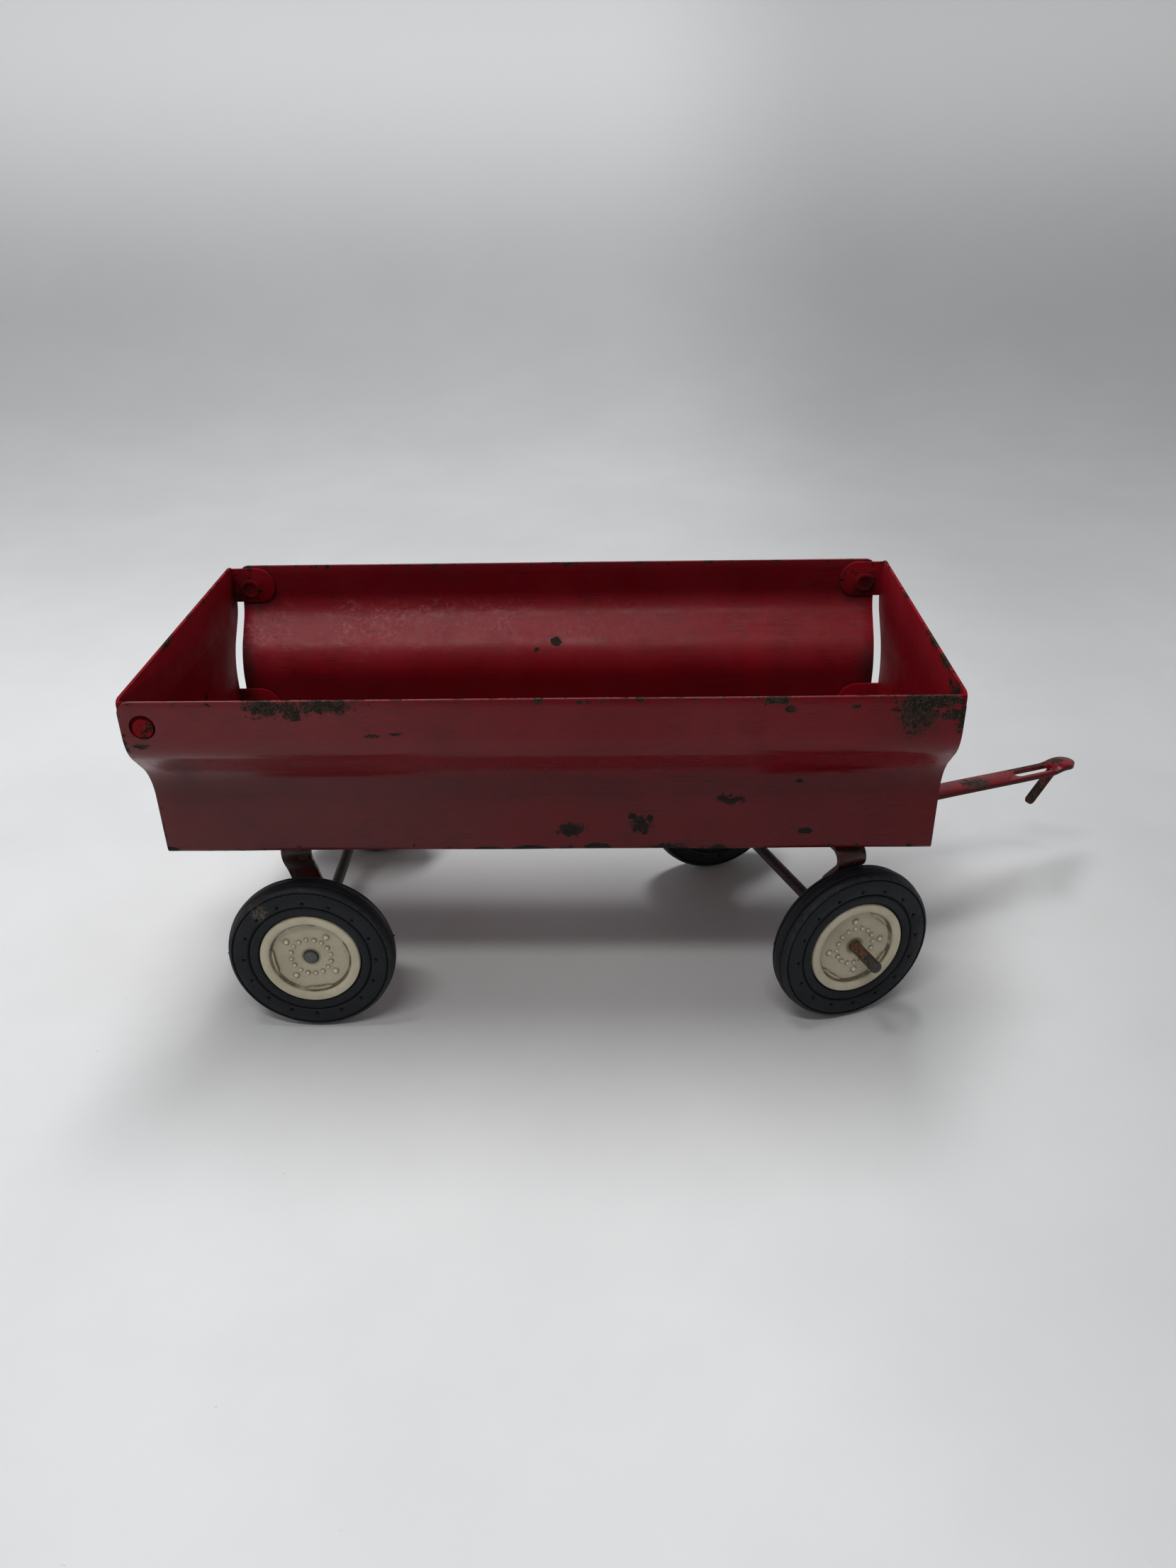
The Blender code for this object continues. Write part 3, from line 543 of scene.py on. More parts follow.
def enamel(name, big_chips, small_chips, grime, edges, scuff_and_highlight=None, shade_and_soot=None, turn=0.0, dull=0.0):
    """Old gloss enamel over steel. edges gives 0..1 near worn edges; the two zone arguments give
    crinkled paint that also carries a painted highlight, and zones of painted shade (with sooty
    clouds on the tongue) that also bring a painted reflection of the floor.
    """
    shader = Shader(name, turn)
    hue = shader.patches(0.035, 3.0, 0.5, 0.3, 0.7)
    paint = shader.mix(hue, (0.175, 0.0022, 0.0070), (0.215, 0.0028, 0.0095))
    cloud = shader.patches(0.16, 6.0, 0.62, 0.45, 0.8, 0.0, 0.30)
    paint = shader.mix(cloud, paint, (0.085, 0.004, 0.006))
    bloom = shader.patches(0.05, 5.0, 0.6, 0.35, 0.7, 0.0, 0.02)
    paint = shader.mix(bloom, paint, (0.35, 0.15, 0.16))
    lines = scratches(shader, (12.0, -24.0, 63.0), 0.012)
    paint = shader.mix(lines * 0.16, paint, (0.30, 0.09, 0.09))
    if scuff_and_highlight:
        cuts = scratches(shader, (-52.0, 21.0, 38.0, -8.0), 0.020)
        cuts = cuts * shader.step(abs(shader.y), 36.5, 37.5)
        paint = shader.mix(cuts * 0.75, paint, (0.020, 0.003, 0.004))
    if shade_and_soot:
        # Darkened towards black in the given zones: painted shade, with sooty clouds as well on the
        # tongue.
        paint = shader.mix(shade_and_soot(shader), paint, BLACK)
        # Pale haze on the right side: painted reflection of the floor.
        paint = shader.mix(painted_floor_reflection(shader), paint, (0.20, 0.42, 0.40))

    ragged = (shader.noise(1.0, 6.0, 0.75) - 0.51) * 3.4
    big = shader.spots(big_chips, shader.shaken(0.42, 4.2, 6.0, 0.62)) + ragged
    small = shader.spots(small_chips, shader.shaken(1.1, 1.5, 4.0, 0.6))
    edge = edges(shader)
    flecks = shader.noise(0.33, 7.0, 0.66) + edge * 0.20 - 0.755
    dots = shader.noise(0.9, 5.0, 0.6) + edge * 0.14 - 0.765
    chips = shader.highest(
        shader.step(big, 0.02, 0.07),
        shader.step(small, 0.02, 0.10),
        shader.step(flecks, 0.0, 0.012),
        shader.step(dots, 0.0, 0.012),
    )
    halo = shader.highest(shader.step(big, -0.25, 0.05), shader.step(small, -0.5, 0.1))
    halo = halo * shader.noise(1.3, 4.0, 0.7)
    paint = shader.mix(halo * 0.55, paint, (0.05, 0.010, 0.010))
    if grime:
        dark_marks = shader.step(shader.spots(grime, shader.shaken(0.2, 6.0)), 0.0, 0.75)
        dark_marks = dark_marks * shader.patches(0.7, 5.0, 0.65, 0.25, 0.6, 0.45, 1.0)
        paint = shader.mix(dark_marks * 0.85, paint, (0.018, 0.008, 0.008))
    rust = rust_colour(shader, 0.6)
    if scuff_and_highlight:
        rust = shader.mix(shader.step(shader.z, 88.0, 75.0, 0.0, 0.72), rust, (0.010, 0.006, 0.005))
    colour = shader.mix(chips, paint, rust)

    roughness = shader.patches(0.11, 5.0, 0.6, 0.3, 0.75, 0.13 + dull, 0.30 + dull)
    roughness = roughness + lines * 0.15
    if grime:
        roughness = roughness + dark_marks * 0.35
    normal = shader.bump(shader.noise(0.9, 2.0, 0.5), 0.010 * MM)
    if scuff_and_highlight:
        zone = scuff_and_highlight(shader)
        roughness = roughness + shader.step(shader.y, 30.0, 38.0, 0.0, 0.19)
        crinkle = shader.noise(0.62, 4.0, 0.62, distortion=0.6)
        normal = shader.bump(crinkle * zone, 0.22 * MM, normal)
        scrape_and_highlight = zone * shader.step(crinkle, 0.48, 0.70)
        roughness = roughness + scrape_and_highlight * 0.14
        # The pale pink mix in this zone is a painted highlight.
        colour = shader.mix(scrape_and_highlight * 0.34, colour, (0.50, 0.20, 0.21))
    roughness = shader.mix(chips, roughness, (0.82, 0.82, 0.82))
    normal = shader.bump(1.0 - chips, 0.09 * MM, normal)
    normal = shader.bump(shader.noise(1.8, 5.0, 0.7) * chips, 0.12 * MM, normal)
    specular = 0.21 - 0.40 * dull
    return shader.finish(colour=colour, roughness=roughness, normal=normal, specular=specular)


def box_edges(shader):
    """The box's worn zones: rim, bottom edge and the four upright ends."""
    rim = shader.step(shader.z, RIM_Z / MM - 3.0, RIM_Z / MM)
    bottom = shader.step(shader.z, FLOOR_Z / MM + 4.5, FLOOR_Z / MM)
    end = shader.step(abs(shader.x), 96.0, 100.0)
    return shader.highest(rim, bottom, end)


def panel_edges(shader):
    """The end panels' worn zones: the top and the sloping side edges."""
    top = shader.step(shader.z, PANEL_TOP_Z / MM - 2.5, PANEL_TOP_Z / MM)
    side = shader.step(abs(shader.y), 45.0, 49.0)
    return shader.highest(top, side)


def plain_edges(shader):
    return shader.noise(0.08, 2.0, 0.5)


def far_wall_scuff_and_highlight(shader):
    """Crinkled paint on the inside of the left side, strongest towards the rear; the zone also
    carries a painted highlight.
    """
    inside = shader.step(shader.y, 30.0, 38.0)
    high = shader.step(shader.z, 72.0, 81.0)
    low = shader.step(shader.z, 90.0, 84.0)
    rearward = shader.step(shader.x, 45.0, -45.0, 0.10, 1.0)
    patch = shader.patches(0.05, 4.0, 0.6, 0.30, 0.62)
    return inside * high * low * patch * rearward


def painted_shade_zones(shader):
    """Painted shade: the right side, most on its lower band, and inside the left side above and
    below its slope.
    """
    outside = shader.step(shader.y, -12.0, -35.0)
    right = outside * shader.step(shader.z, 71.0, 78.0, 0.50, 0.27)
    inside = shader.step(shader.y, 12.0, 35.0)
    above = shader.step(shader.z, 85.0, 90.0, 0.0, 0.24)
    below = shader.step(shader.z, 71.0, 65.0, 0.0, 0.26)
    left = inside * shader.highest(above, below)
    return shader.highest(right, left)


def painted_floor_reflection(shader):
    """Pale haze on the rear half of the right side: a painted reflection of the pale floor."""
    outside = shader.step(shader.y, -12.0, -35.0)
    rear = shader.step(shader.x, 15.0, -75.0, 0.0, 0.034)
    return outside * rear


def on_side(y, depth, *rows):
    """Spots on an upright side, from rows of x, z, half length and half height."""
    return [((x, y, z), (length, depth, height)) for x, z, length, height in rows]


def on_end(x, depth, *rows):
    """Spots on an end panel, from rows of y, z, half width and half height."""
    return [((x, y, z), (depth, width, height)) for y, z, width, height in rows]


def box_enamel():
    right = -RIM_HALF_WIDTH / MM
    low = -FLOOR_HALF_WIDTH / MM
    big = on_side(
        right, 4.0,
        (-64.5, 96.9, 5.0, 2.3), (-58.3, 96.2, 3.4, 2.6), (-50.5, 97.2, 6.6, 2.2),
        (88.6, 95.4, 4.8, 6.6), (94.0, 97.6, 7.0, 1.9), (97.0, 93.8, 3.6, 1.5),
        (99.6, 92.2, 2.0, 4.0), (56.0, 97.9, 3.4, 1.4),
    )
    big += on_side(
        low, 4.0,
        (6.4, 56.6, 3.9, 1.9), (24.2, 57.8, 2.7, 2.5), (46.9, 65.2, 4.0, 1.3),
        (31.0, 51.2, 4.4, 1.4), (-99.8, 55.2, 1.7, 5.2),
    )
    small = on_side(
        right, 3.0,
        (58.9, 95.5, 1.5, 0.9), (74.1, 96.0, 1.2, 0.6), (9.7, 97.7, 1.0, 0.5),
        (-39.6, 89.4, 2.1, 0.45), (-34.0, 89.8, 1.8, 0.45), (-95.4, 87.0, 2.2, 0.8),
        (-99.6, 86.0, 1.2, 1.5), (-57.0, 94.0, 1.0, 0.6),
    )
    small += on_side(
        low, 3.0,
        (22.0, 60.4, 1.2, 1.0), (26.6, 59.8, 0.9, 1.1), (66.0, 55.9, 2.1, 1.0),
        (63.8, 70.6, 1.1, 0.7), (-97.6, 51.2, 2.6, 1.0),
    )
    small += [((0.0, 41.5, 76.6), (1.8, 2.5, 1.4)), ((-6.0, 40.5, 74.6), (1.0, 2.0, 0.8))]
    small += on_side(
        low, 3.0,
        (13.0, 51.4, 3.8, 1.3), (-4.0, 50.8, 5.4, 1.4), (-15.0, 50.6, 4.2, 1.2),
        (44.0, 50.8, 2.4, 1.3),
    )
    grime = [
        ((-92.0, 48.0, 91.0), (11.0, 6.0, 8.0)), ((-95.0, 41.0, 70.0), (5.0, 8.0, 14.0)),
        ((90.0, 48.0, 90.0), (7.0, 6.0, 6.0)), ((94.0, 40.0, 66.0), (6.0, 8.0, 12.0)),
        ((90.0, -47.0, 90.0), (9.0, 5.0, 7.0)), ((-90.0, -46.0, 70.0), (9.0, 9.0, 16.0)),
    ]
    return enamel("box_enamel", big, small, grime, box_edges, scuff_and_highlight=far_wall_scuff_and_highlight, shade_and_soot=painted_shade_zones)


def front_panel_enamel():
    big = on_end(99.0, 2.5, (-43.0, 94.0, 5.0, 4.6), (-30.0, 98.4, 5.0, 1.5))
    big += on_end(99.0, 2.5, (-17.0, 98.6, 4.0, 1.0))
    small = on_end(99.0, 2.0, (-37.0, 96.0, 2.0, 1.0))
    grime = [((98.0, 44.0, 60.0), (6.0, 9.0, 12.0)), ((93.0, 48.0, 90.0), (6.0, 3.0, 7.0))]
    return enamel("front_panel_enamel", big, small, grime, panel_edges, dull=PANEL_DULLNESS)


def rear_panel_enamel():
    big = on_end(-99.0, 2.5, (30.0, 52.0, 7.0, 1.4), (-12.0, 98.4, 5.0, 0.9))
    big += on_end(-99.0, 2.5, (-40.0, 75.0, 2.5, 3.5))
    small = on_end(-99.0, 2.0, (8.0, 74.0, 1.6, 1.1), (-20.0, 62.0, 1.0, 1.6))
    grime = [((-95.0, 47.0, 90.0), (9.0, 5.0, 9.0)), ((-96.0, 38.0, 60.0), (7.0, 7.0, 12.0))]
    return enamel("rear_panel_enamel", big, small, grime, panel_edges, dull=PANEL_DULLNESS)


def tongue_soot_and_shade(shader):
    """Uneven darkening of the tongue in clouds, and painted shade along its -Y edge."""
    clouds = shader.patches(0.2, 4.0, 0.6, 0.3, 0.7, 0.22, 0.48)
    # The -Y edge is painted shade.
    side = shader.step(shader.y, -2.6, -3.3, 0.0, 0.7)
    return shader.highest(clouds, side)


def tongue_enamel():
    big = [((66.2, -0.6, 36.4), (4.4, 3.2, 2.4)), ((88.0, 2.7, 37.0), (9.0, 1.1, 1.8))]
    big += [((90.5, 0.0, 28.0), (6.5, 3.0, 5.8))]
    small = [((28.0, -2.0, 36.8), (2.0, 1.0, 1.0)), ((97.0, 1.2, 37.4), (2.4, 1.5, 1.4))]
    return enamel("tongue_enamel", big, small, [], plain_edges, shade_and_soot=tongue_soot_and_shade, turn=STEER_ANGLE)


def shaded_enamel(name):
    """Dirty enamel of the bolsters, half gone to rust; its reds are far darker than the box's, as
    painted shade.
    """
    shader = Shader(name)
    cloud = shader.patches(0.22, 6.0, 0.62, 0.3, 0.7)
    # Both reds are darkened far below the box's: painted shade.
    paint = shader.mix(cloud, (0.060, 0.004, 0.006), (0.020, 0.005, 0.005))
    rusty = shader.patches(0.38, 7.0, 0.66, 0.53, 0.60)
    colour = shader.mix(rusty, paint, rust_colour(shader, 0.15))
    roughness = shader.mix(rusty, (0.34, 0.34, 0.34), (0.85, 0.85, 0.85))
    normal = shader.bump(1.0 - rusty, 0.06 * MM)
    normal = shader.bump(shader.noise(1.6, 5.0, 0.65), 0.05 * MM, normal)
    return shader.finish(colour=colour, roughness=roughness, normal=normal)


def worn_steel(name, rust_from, rust_full, paint_share):
    """Dull steel; rust and old paint come in with the noise thresholds given."""
    shader = Shader(name)
    brushed = shader.patches(0.8, 4.0, 0.6, 0.3, 0.7)
    steel = shader.mix(brushed, (0.105, 0.10, 0.095), (0.19, 0.18, 0.17))
    film = shader.patches(0.3, 5.0, 0.6, 0.62 - paint_share, 0.72 - paint_share)
    colour = shader.mix(film, steel, (0.075, 0.016, 0.015))
    rusty = shader.patches(0.7, 6.0, 0.65, rust_from, rust_full)
    colour = shader.mix(rusty, colour, rust_colour(shader, 0.35))
    metal = (1.0 - rusty) * (1.0 - film) * 0.85
    roughness = shader.mix(rusty, (0.42, 0.42, 0.42), (0.88, 0.88, 0.88))
    normal = shader.bump(shader.noise(1.9, 5.0, 0.65), 0.06 * MM)
    return shader.finish(colour=colour, roughness=roughness, normal=normal, metallic=metal)


def front_rod_steel():
    """The front rod: dark along its length, rusty outside the right wheel, grey at its tip."""
    shader = Shader("front_rod_steel", STEER_ANGLE)
    fine = shader.noise(1.5, 5.0, 0.65)
    coarse = shader.noise(0.5, 4.0, 0.6)
    maroon = shader.step(coarse, 0.35, 0.65)
    maroon = shader.mix(maroon, (0.040, 0.012, 0.012), (0.022, 0.014, 0.014))
    rust = shader.step(fine, 0.38, 0.62)
    rust = shader.mix(rust, (0.034, 0.016, 0.008), (0.165, 0.078, 0.036))
    grey = shader.step(fine, 0.35, 0.65)
    grey = shader.mix(grey, (0.030, 0.027, 0.025), (0.085, 0.076, 0.068))
    along = shader.y + (coarse - 0.5) * 3.0
    tip = shader.step(along, -50.3, -51.2)
    colour = shader.mix(shader.step(along, -42.0, -43.5), maroon, rust)
    colour = shader.mix(tip, colour, grey)
    roughness = shader.step(fine, 0.3, 0.7, 0.45, 0.8)
    normal = shader.bump(fine, 0.10 * MM)
    return shader.finish(colour=colour, roughness=roughness, normal=normal, metallic=tip * 0.5)


def rear_rod_steel():
    """The rear rod: plain grey steel at its peened ends, dark and dirty between the wheels."""
    shader = Shader("rear_rod_steel")
    fine = shader.noise(1.7, 5.0, 0.65)
    grey = shader.step(fine, 0.35, 0.70)
    grey = shader.mix(grey, (0.075, 0.077, 0.080), (0.150, 0.150, 0.148))
    rim = shader.step(radius_from_axle(shader), 1.45, 1.95)
    grey = shader.mix(rim * 0.85, grey, (0.014, 0.012, 0.012))
    dirty = shader.step(fine, 0.35, 0.65)
    dirty = shader.mix(dirty, (0.018, 0.012, 0.011), (0.055, 0.030, 0.024))
    colour = shader.mix(shader.step(abs(shader.y), 43.8, 42.8), grey, dirty)
    roughness = shader.step(fine, 0.3, 0.7, 0.45, 0.7)
    normal = shader.bump(fine, 0.08 * MM)
    return shader.finish(colour=colour, roughness=roughness, normal=normal, metallic=0.3)


def radius_from_axle(shader):
    return shader.math("SQRT", shader.x ** 2.0 + shader.z ** 2.0)


def ring_mask(shader, radius, middle, half_width):
    """One on the ring of this radius, fading to nothing half_width away from it."""
    return shader.step(abs(radius - middle), half_width, 0.0)


def share_of_turn(shader, count, first):
    """How far round the point is from the nearest of count evenly spaced places, -0.5 to 0.5."""
    angle = shader.math("ARCTAN2", shader.z, shader.x)
    turns = (angle - first) * (count / (2.0 * math.pi))
    return shader.math("FRACT", turns + 0.5) - 0.5


def from_nearest_spot(shader, radius, count, reach):
    """Distance from the nearest of count evenly spaced spots on a circle, in millimetres."""
    around = share_of_turn(shader, count, 0.0) * (2.0 * math.pi * reach / count)
    return shader.math("SQRT", around ** 2.0 + (radius - reach) ** 2.0)


def crescent_outline(shader, radius):
    """The dark line along the inner edge of the four crescent mouldings: a painted shadow of their
    raised edge.
    """
    share = share_of_turn(shader, BIG_STUDS, math.pi / BIG_STUDS)
    share = abs(share * (180.0 / CRESCENT_SPAN))
    bow = 1.0 - shader.math("MINIMUM", share, 1.0) ** 4.0
    away = abs(radius - (10.5 - bow * 0.95))
    return shader.step(away, 0.26, 0.04) * shader.step(share, 1.08, 0.95)


def cream_plastic():
    """Aged cream hub moulding with brown grime where the dish meets its wall, and painted shade and
    light: a slightly darker dish, dark circles round the studs (grime and painted shade), a lighter
    top on each stud (painted highlight) and a dark line inside each crescent (painted shadow).
    """
    shader = Shader("cream_hub")
    clouds = shader.noise(0.14, 4.0, 0.55)
    cream = shader.mix(shader.step(clouds, 0.3, 0.7), (0.47, 0.42, 0.30), (0.56, 0.51, 0.375))
    yellowed = shader.patches(0.5, 5.0, 0.6, 0.5, 0.75, 0.0, 0.35)
    cream = shader.mix(yellowed, cream, (0.42, 0.35, 0.215))
    radius = radius_from_axle(shader)
    deep = shader.step(shader.y, 0.25, 1.2)
    # The whole dish floor is darkened a little: painted shade in the recess.
    cream = shader.mix(deep * 0.18, cream, (0.20, 0.17, 0.10))

    small = from_nearest_spot(shader, radius, SMALL_STUDS, SMALL_STUD_REACH)
    big = from_nearest_spot(shader, radius, BIG_STUDS, BIG_STUD_REACH)
    # Dark circles round the studs: grime and painted shade.
    stud_dirt_and_shade = shader.highest(
        shader.step(small, 0.95, 0.60) * shader.step(small, 0.40, 0.55),
        shader.step(big, 1.25, 0.85) * shader.step(big, 0.62, 0.80),
    )
    # A lighter top on each stud: painted highlight.
    stud_highlights = shader.highest(shader.step(small, 0.46, 0.22), shader.step(big, 0.66, 0.36))
    in_dish = shader.step(radius, 10.0, 9.5)
    patchy = shader.patches(0.5, 4.0, 0.6, 0.30, 0.62, 0.35, 1.0)
    cream = shader.mix(stud_highlights * in_dish * 0.8, cream, (0.74, 0.69, 0.55))
    stud_dirt_and_shade = stud_dirt_and_shade * in_dish * patchy

    uneven = shader.patches(0.20, 4.0, 0.6, 0.34, 0.60, 0.35, 1.0)
    wall = ring_mask(shader, radius, 10.50, 0.50) * shader.step(shader.y, 0.3, 0.9)
    wall = shader.step(wall, 0.0, 0.5) * uneven
    # Dark lines inside each crescent: painted shadow.
    crescent_shadows = crescent_outline(shader, radius) * patchy
    bore = shader.step(radius, 3.0, 1.9) * 0.8
    film = shader.patches(1.1, 5.0, 0.65, 0.52, 0.74) * deep
    flange = shader.step(radius, 12.9, 13.3) * 0.5
    specks = shader.patches(1.3, 2.0, 0.5, 0.745, 0.765)
    # Grime, with the painted shade and shadow above, darkens the cream.
    dark_marks = shader.highest(
        wall,
        bore,
        crescent_shadows * 0.75,
        stud_dirt_and_shade * 0.62,
        film * 0.25,
        flange * uneven,
        specks,
    )
    colour = shader.mix(dark_marks * 0.86, cream, (0.075, 0.050, 0.026))
    roughness = shader.step(clouds, 0.3, 0.7, 0.36, 0.46) + dark_marks * 0.3
    normal = shader.bump(shader.noise(1.4, 4.0, 0.55), 0.03 * MM)
    return shader.finish(colour=colour, roughness=roughness, normal=normal)


def tyre_rubber(name, dusty_patch):
    """Old black rubber: bluish bloom, grooves and pits darkened as painted shade, a ridge lightened
    by scuffs and painted highlight and, on one tyre, dried mud.
    """
    shader = Shader(name)
    clouds = shader.noise(0.12, 5.0, 0.6)
    rubber = shader.step(clouds, 0.3, 0.7)
    rubber = shader.mix(rubber, (0.0032, 0.0041, 0.0064), (0.0068, 0.0082, 0.0122))
    grain = shader.noise(1.3, 5.0, 0.68)
    dust = shader.step(grain, 0.52, 0.74, 0.0, 0.30)
    colour = shader.mix(dust, rubber, (0.034, 0.036, 0.041))
    radius = radius_from_axle(shader)
    ridge_patches = shader.patches(0.8, 5.0, 0.7, 0.40, 0.66)
    shoulder = shader.step(radius, 20.8, 21.8, 0.0, 0.4)
    colour = shader.mix(shoulder, colour, (0.0020, 0.0024, 0.0036))
    # A lighter band along the ridge, in patches: scuffs and painted highlight.
    ridge = ring_mask(shader, radius, 21.1, 0.75) * ridge_patches
    colour = shader.mix(ridge * 0.45, colour, (0.040, 0.042, 0.046))
    from_middle = abs(shader.y - 3.85)
    pit = from_nearest_spot(shader, radius, PITS, PIT_REACH)
    # Grooves, bead line and pits darkened towards black: painted shade.
    black = shader.highest(
        ring_mask(shader, radius, 16.11, 0.36),
        ring_mask(shader, radius, 20.47, 0.30),
        ring_mask(shader, from_middle, 1.72, 0.36) * shader.step(radius, 20.7, 21.0),
        shader.step(pit, 0.62, 0.30),
    )
    black = shader.step(black, 0.1, 0.6)
    colour = shader.mix(black * 0.9, colour, (0.0016, 0.0016, 0.0020))
    if dusty_patch:
        patch = shader.spots([dusty_patch], shader.shaken(0.9, 2.6, 5.0, 0.65))
        mud = shader.step(patch, 0.0, 0.6) * shader.step(grain, 0.42, 0.60)
        colour = shader.mix(mud * 0.75, colour, (0.115, 0.092, 0.064))
    roughness = shader.step(clouds, 0.3, 0.7, 0.50, 0.70)
    roughness = roughness + black * 0.25
    normal = shader.bump(grain, 0.13 * MM)
    normal = shader.bump(shader.noise(0.45, 3.0, 0.5), 0.14 * MM, normal)
    return shader.finish(colour=colour, roughness=roughness, normal=normal, specular=0.30)


def studio_white():
    """The pale matt table and backdrop, with faint random mottling and specks, and painted light
    and shade: darker further out, lighter up the backdrop, darker on the camera's side, in a band
    beyond the wagon and towards +X.
    """
    shader = Shader("studio_white")
    mottled = shader.patches(0.012, 4.0, 0.6, 0.3, 0.7)
    colour = shader.mix(mottled, (0.67, 0.675, 0.68), (0.71, 0.715, 0.72))
    # Darker further out from the middle: painted shade.
    away = shader.vector("LENGTH", shader.vector("MULTIPLY", shader.point, (1.0, 1.0, 0.0)))
    colour = shader.mix(shader.step(away, 480.0, 900.0, 0.0, 0.7), colour, (0.30, 0.305, 0.31))
    # Lighter up the backdrop, towards the lamps: painted light.
    colour = shader.mix(shader.step(shader.z, 60.0, 270.0, 0.0, 0.8), colour, (0.72, 0.725, 0.73))
    # Darker on the camera's side: painted shade.
    camera_side_shade = shader.step(shader.y, -350.0, -800.0, 0.0, 0.75)
    colour = shader.mix(camera_side_shade, colour, (0.12, 0.12, 0.12))
    # A darker band beyond the wagon: painted shade.
    backdrop_shade_band = shader.step(shader.y, 130.0, 430.0) * shader.step(shader.y, 980.0, 600.0)
    colour = shader.mix(backdrop_shade_band * 0.22, colour, BLACK)
    # Darker towards +X: painted shade.
    colour = shader.mix(shader.step(shader.x, -20.0, 190.0, 0.0, 0.27), colour, BLACK)
    specks = shader.patches(0.45, 3.0, 0.6, 0.752, 0.77, 0.0, 0.5)
    colour = shader.mix(specks, colour, (0.25, 0.24, 0.23))
    normal = shader.bump(shader.noise(1.4, 3.0, 0.55), 0.02 * MM)
    return shader.finish(colour=colour, roughness=0.62, normal=normal, specular=0.35)


# ---------------------------------------------------------------- wagon box and ends

def side_profile(bend_steps):
    """The left half of the box section's outer face, from the floor's edge up to the rim."""
    bend_cos = math.cos(HALF_BEND)
    lower_y = FLOOR_HALF_WIDTH + LOWER_BEND_R
    upper_y = RIM_HALF_WIDTH - UPPER_BEND_R
    slope_rise = upper_y + UPPER_BEND_R * bend_cos - (lower_y - LOWER_BEND_R * bend_cos)
    lower_z = UPPER_BEND_Z - UPPER_BEND_R * bend_cos - slope_rise - LOWER_BEND_R * bend_cos
    floor_centre = (FLOOR_HALF_WIDTH - FLOOR_BEND_R, FLOOR_Z + FLOOR_BEND_R)
    points = arc(floor_centre, FLOOR_BEND_R, -math.pi / 2, 0.0, 5)
    points += arc((lower_y, lower_z), LOWER_BEND_R, math.pi, math.pi - HALF_BEND, bend_steps)
    points += arc((upper_y, UPPER_BEND_Z), UPPER_BEND_R, -HALF_BEND, 0.0, bend_steps)
    points.append((RIM_HALF_WIDTH, RIM_Z))
    return points


def lean_share(z):
    """How far along X a point at this height sits, compared with the same point at the rim."""
    return 1.0 - END_LEAN * (RIM_Z - z)


def box_end_x(y):
    share = min(max((y + FLOOR_HALF_WIDTH) / (2.0 * FLOOR_HALF_WIDTH), 0.0), 1.0)
    return RIGHT_SIDE_END_X + (LEFT_SIDE_END_X - RIGHT_SIDE_END_X) * share


def dent(x, y, z):
    """How far the old sheet stands off its true place, along its normal."""
    slow = noise.noise(Vector((x * 22.0, y * 30.0, z * 34.0)))
    quick = noise.noise(Vector((x * 75.0 + 9.0, y * 70.0, z * 80.0)))
    plain = 1.0 - max(0.0, (abs(x) - DENT_FADE_START) / DENT_FADE_LENGTH)
    return max(plain, LEAST_DENT_SHARE) * (0.20 * slow + 0.06 * quick) * MM


def box_mesh():
    left = divided(side_profile(12), LONGEST_STRETCH)
    floor_edge = left[0][0]
    floor = []
    for i in range(1, FLOOR_STEPS):
        floor.append((-floor_edge + 2.0 * floor_edge * i / FLOOR_STEPS, FLOOR_Z))
    outer = [(-y, z) for y, z in reversed(left)] + floor + left
    inner = offset_path(outer, SHEET)
    bm = bmesh.new()
    loops = []
    for k in range(BOX_STATIONS + 1):
        share = 2.0 * k / BOX_STATIONS - 1.0
        loop = []
        shown = []
        for (y0, z0), (y1, z1) in zip(outer, inner):
            x = share * box_end_x(y0) * lean_share(z0)
            away = dent(x, y0, z0) / SHEET
            dy, dz = (y0 - y1) * away, (z0 - z1) * away
            if z0 < FLOOR_Z + 1e-6:
                dz *= FLOOR_DENT_SHARE
            loop.append(bm.verts.new((x, y0 + dy, z0 + dz)))
            x = share * box_end_x(y1) * lean_share(z1)
            shown.append(bm.verts.new((x, y1 + dy, z1 + dz)))
        loops.append(loop + shown[::-1])
    count = len(loops[0])
    for one, two in zip(loops, loops[1:]):
        for i in range(count):
            j = (i + 1) % count
            bm.faces.new((one[i], one[j], two[j], two[i]))
    half = count // 2
    for loop in (loops[0], loops[-1]):
        for i in range(half - 1):
            bm.faces.new((loop[i], loop[i + 1], loop[count - 2 - i], loop[count - 1 - i]))
    bmesh.ops.recalc_face_normals(bm, faces=bm.faces)
    corners = []
    for loop in (loops[0], loops[-1]):
        for i, j in ((0, count - 1), (half - 1, half)):
            corners.append(bm.edges.get((loop[i], loop[j])))
    bmesh.ops.bevel(bm, geom=corners, offset=RIM_CORNER_R, segments=8, profile=0.5, affect="EDGES")
    return bm


def make_box():
    box = mesh_object("wagon_box_shell", box_mesh(), box_enamel())
    for x_sign, y_sign in BUTTON_CORNERS:
        hole_z = BUTTON_Z + BUTTON_HOLE_RISE
        centre = (button_x(x_sign, y_sign, hole_z), y_sign * RIM_HALF_WIDTH, hole_z)
        drill(box, BUTTON_HOLE_R, centre, about_y)
    drill(box, PIN_HOLE_R, (SWIVEL.x - WAGON_ORIGIN.x, 0.0, FLOOR_Z), about_z)
    drill_rivet_holes(box, REAR_BOLSTER_X, REAR_RIVET_Y, FLOOR_Z)
    settle(finished(box), WAGON, "wagon_box", "red_enamel", "box_body")


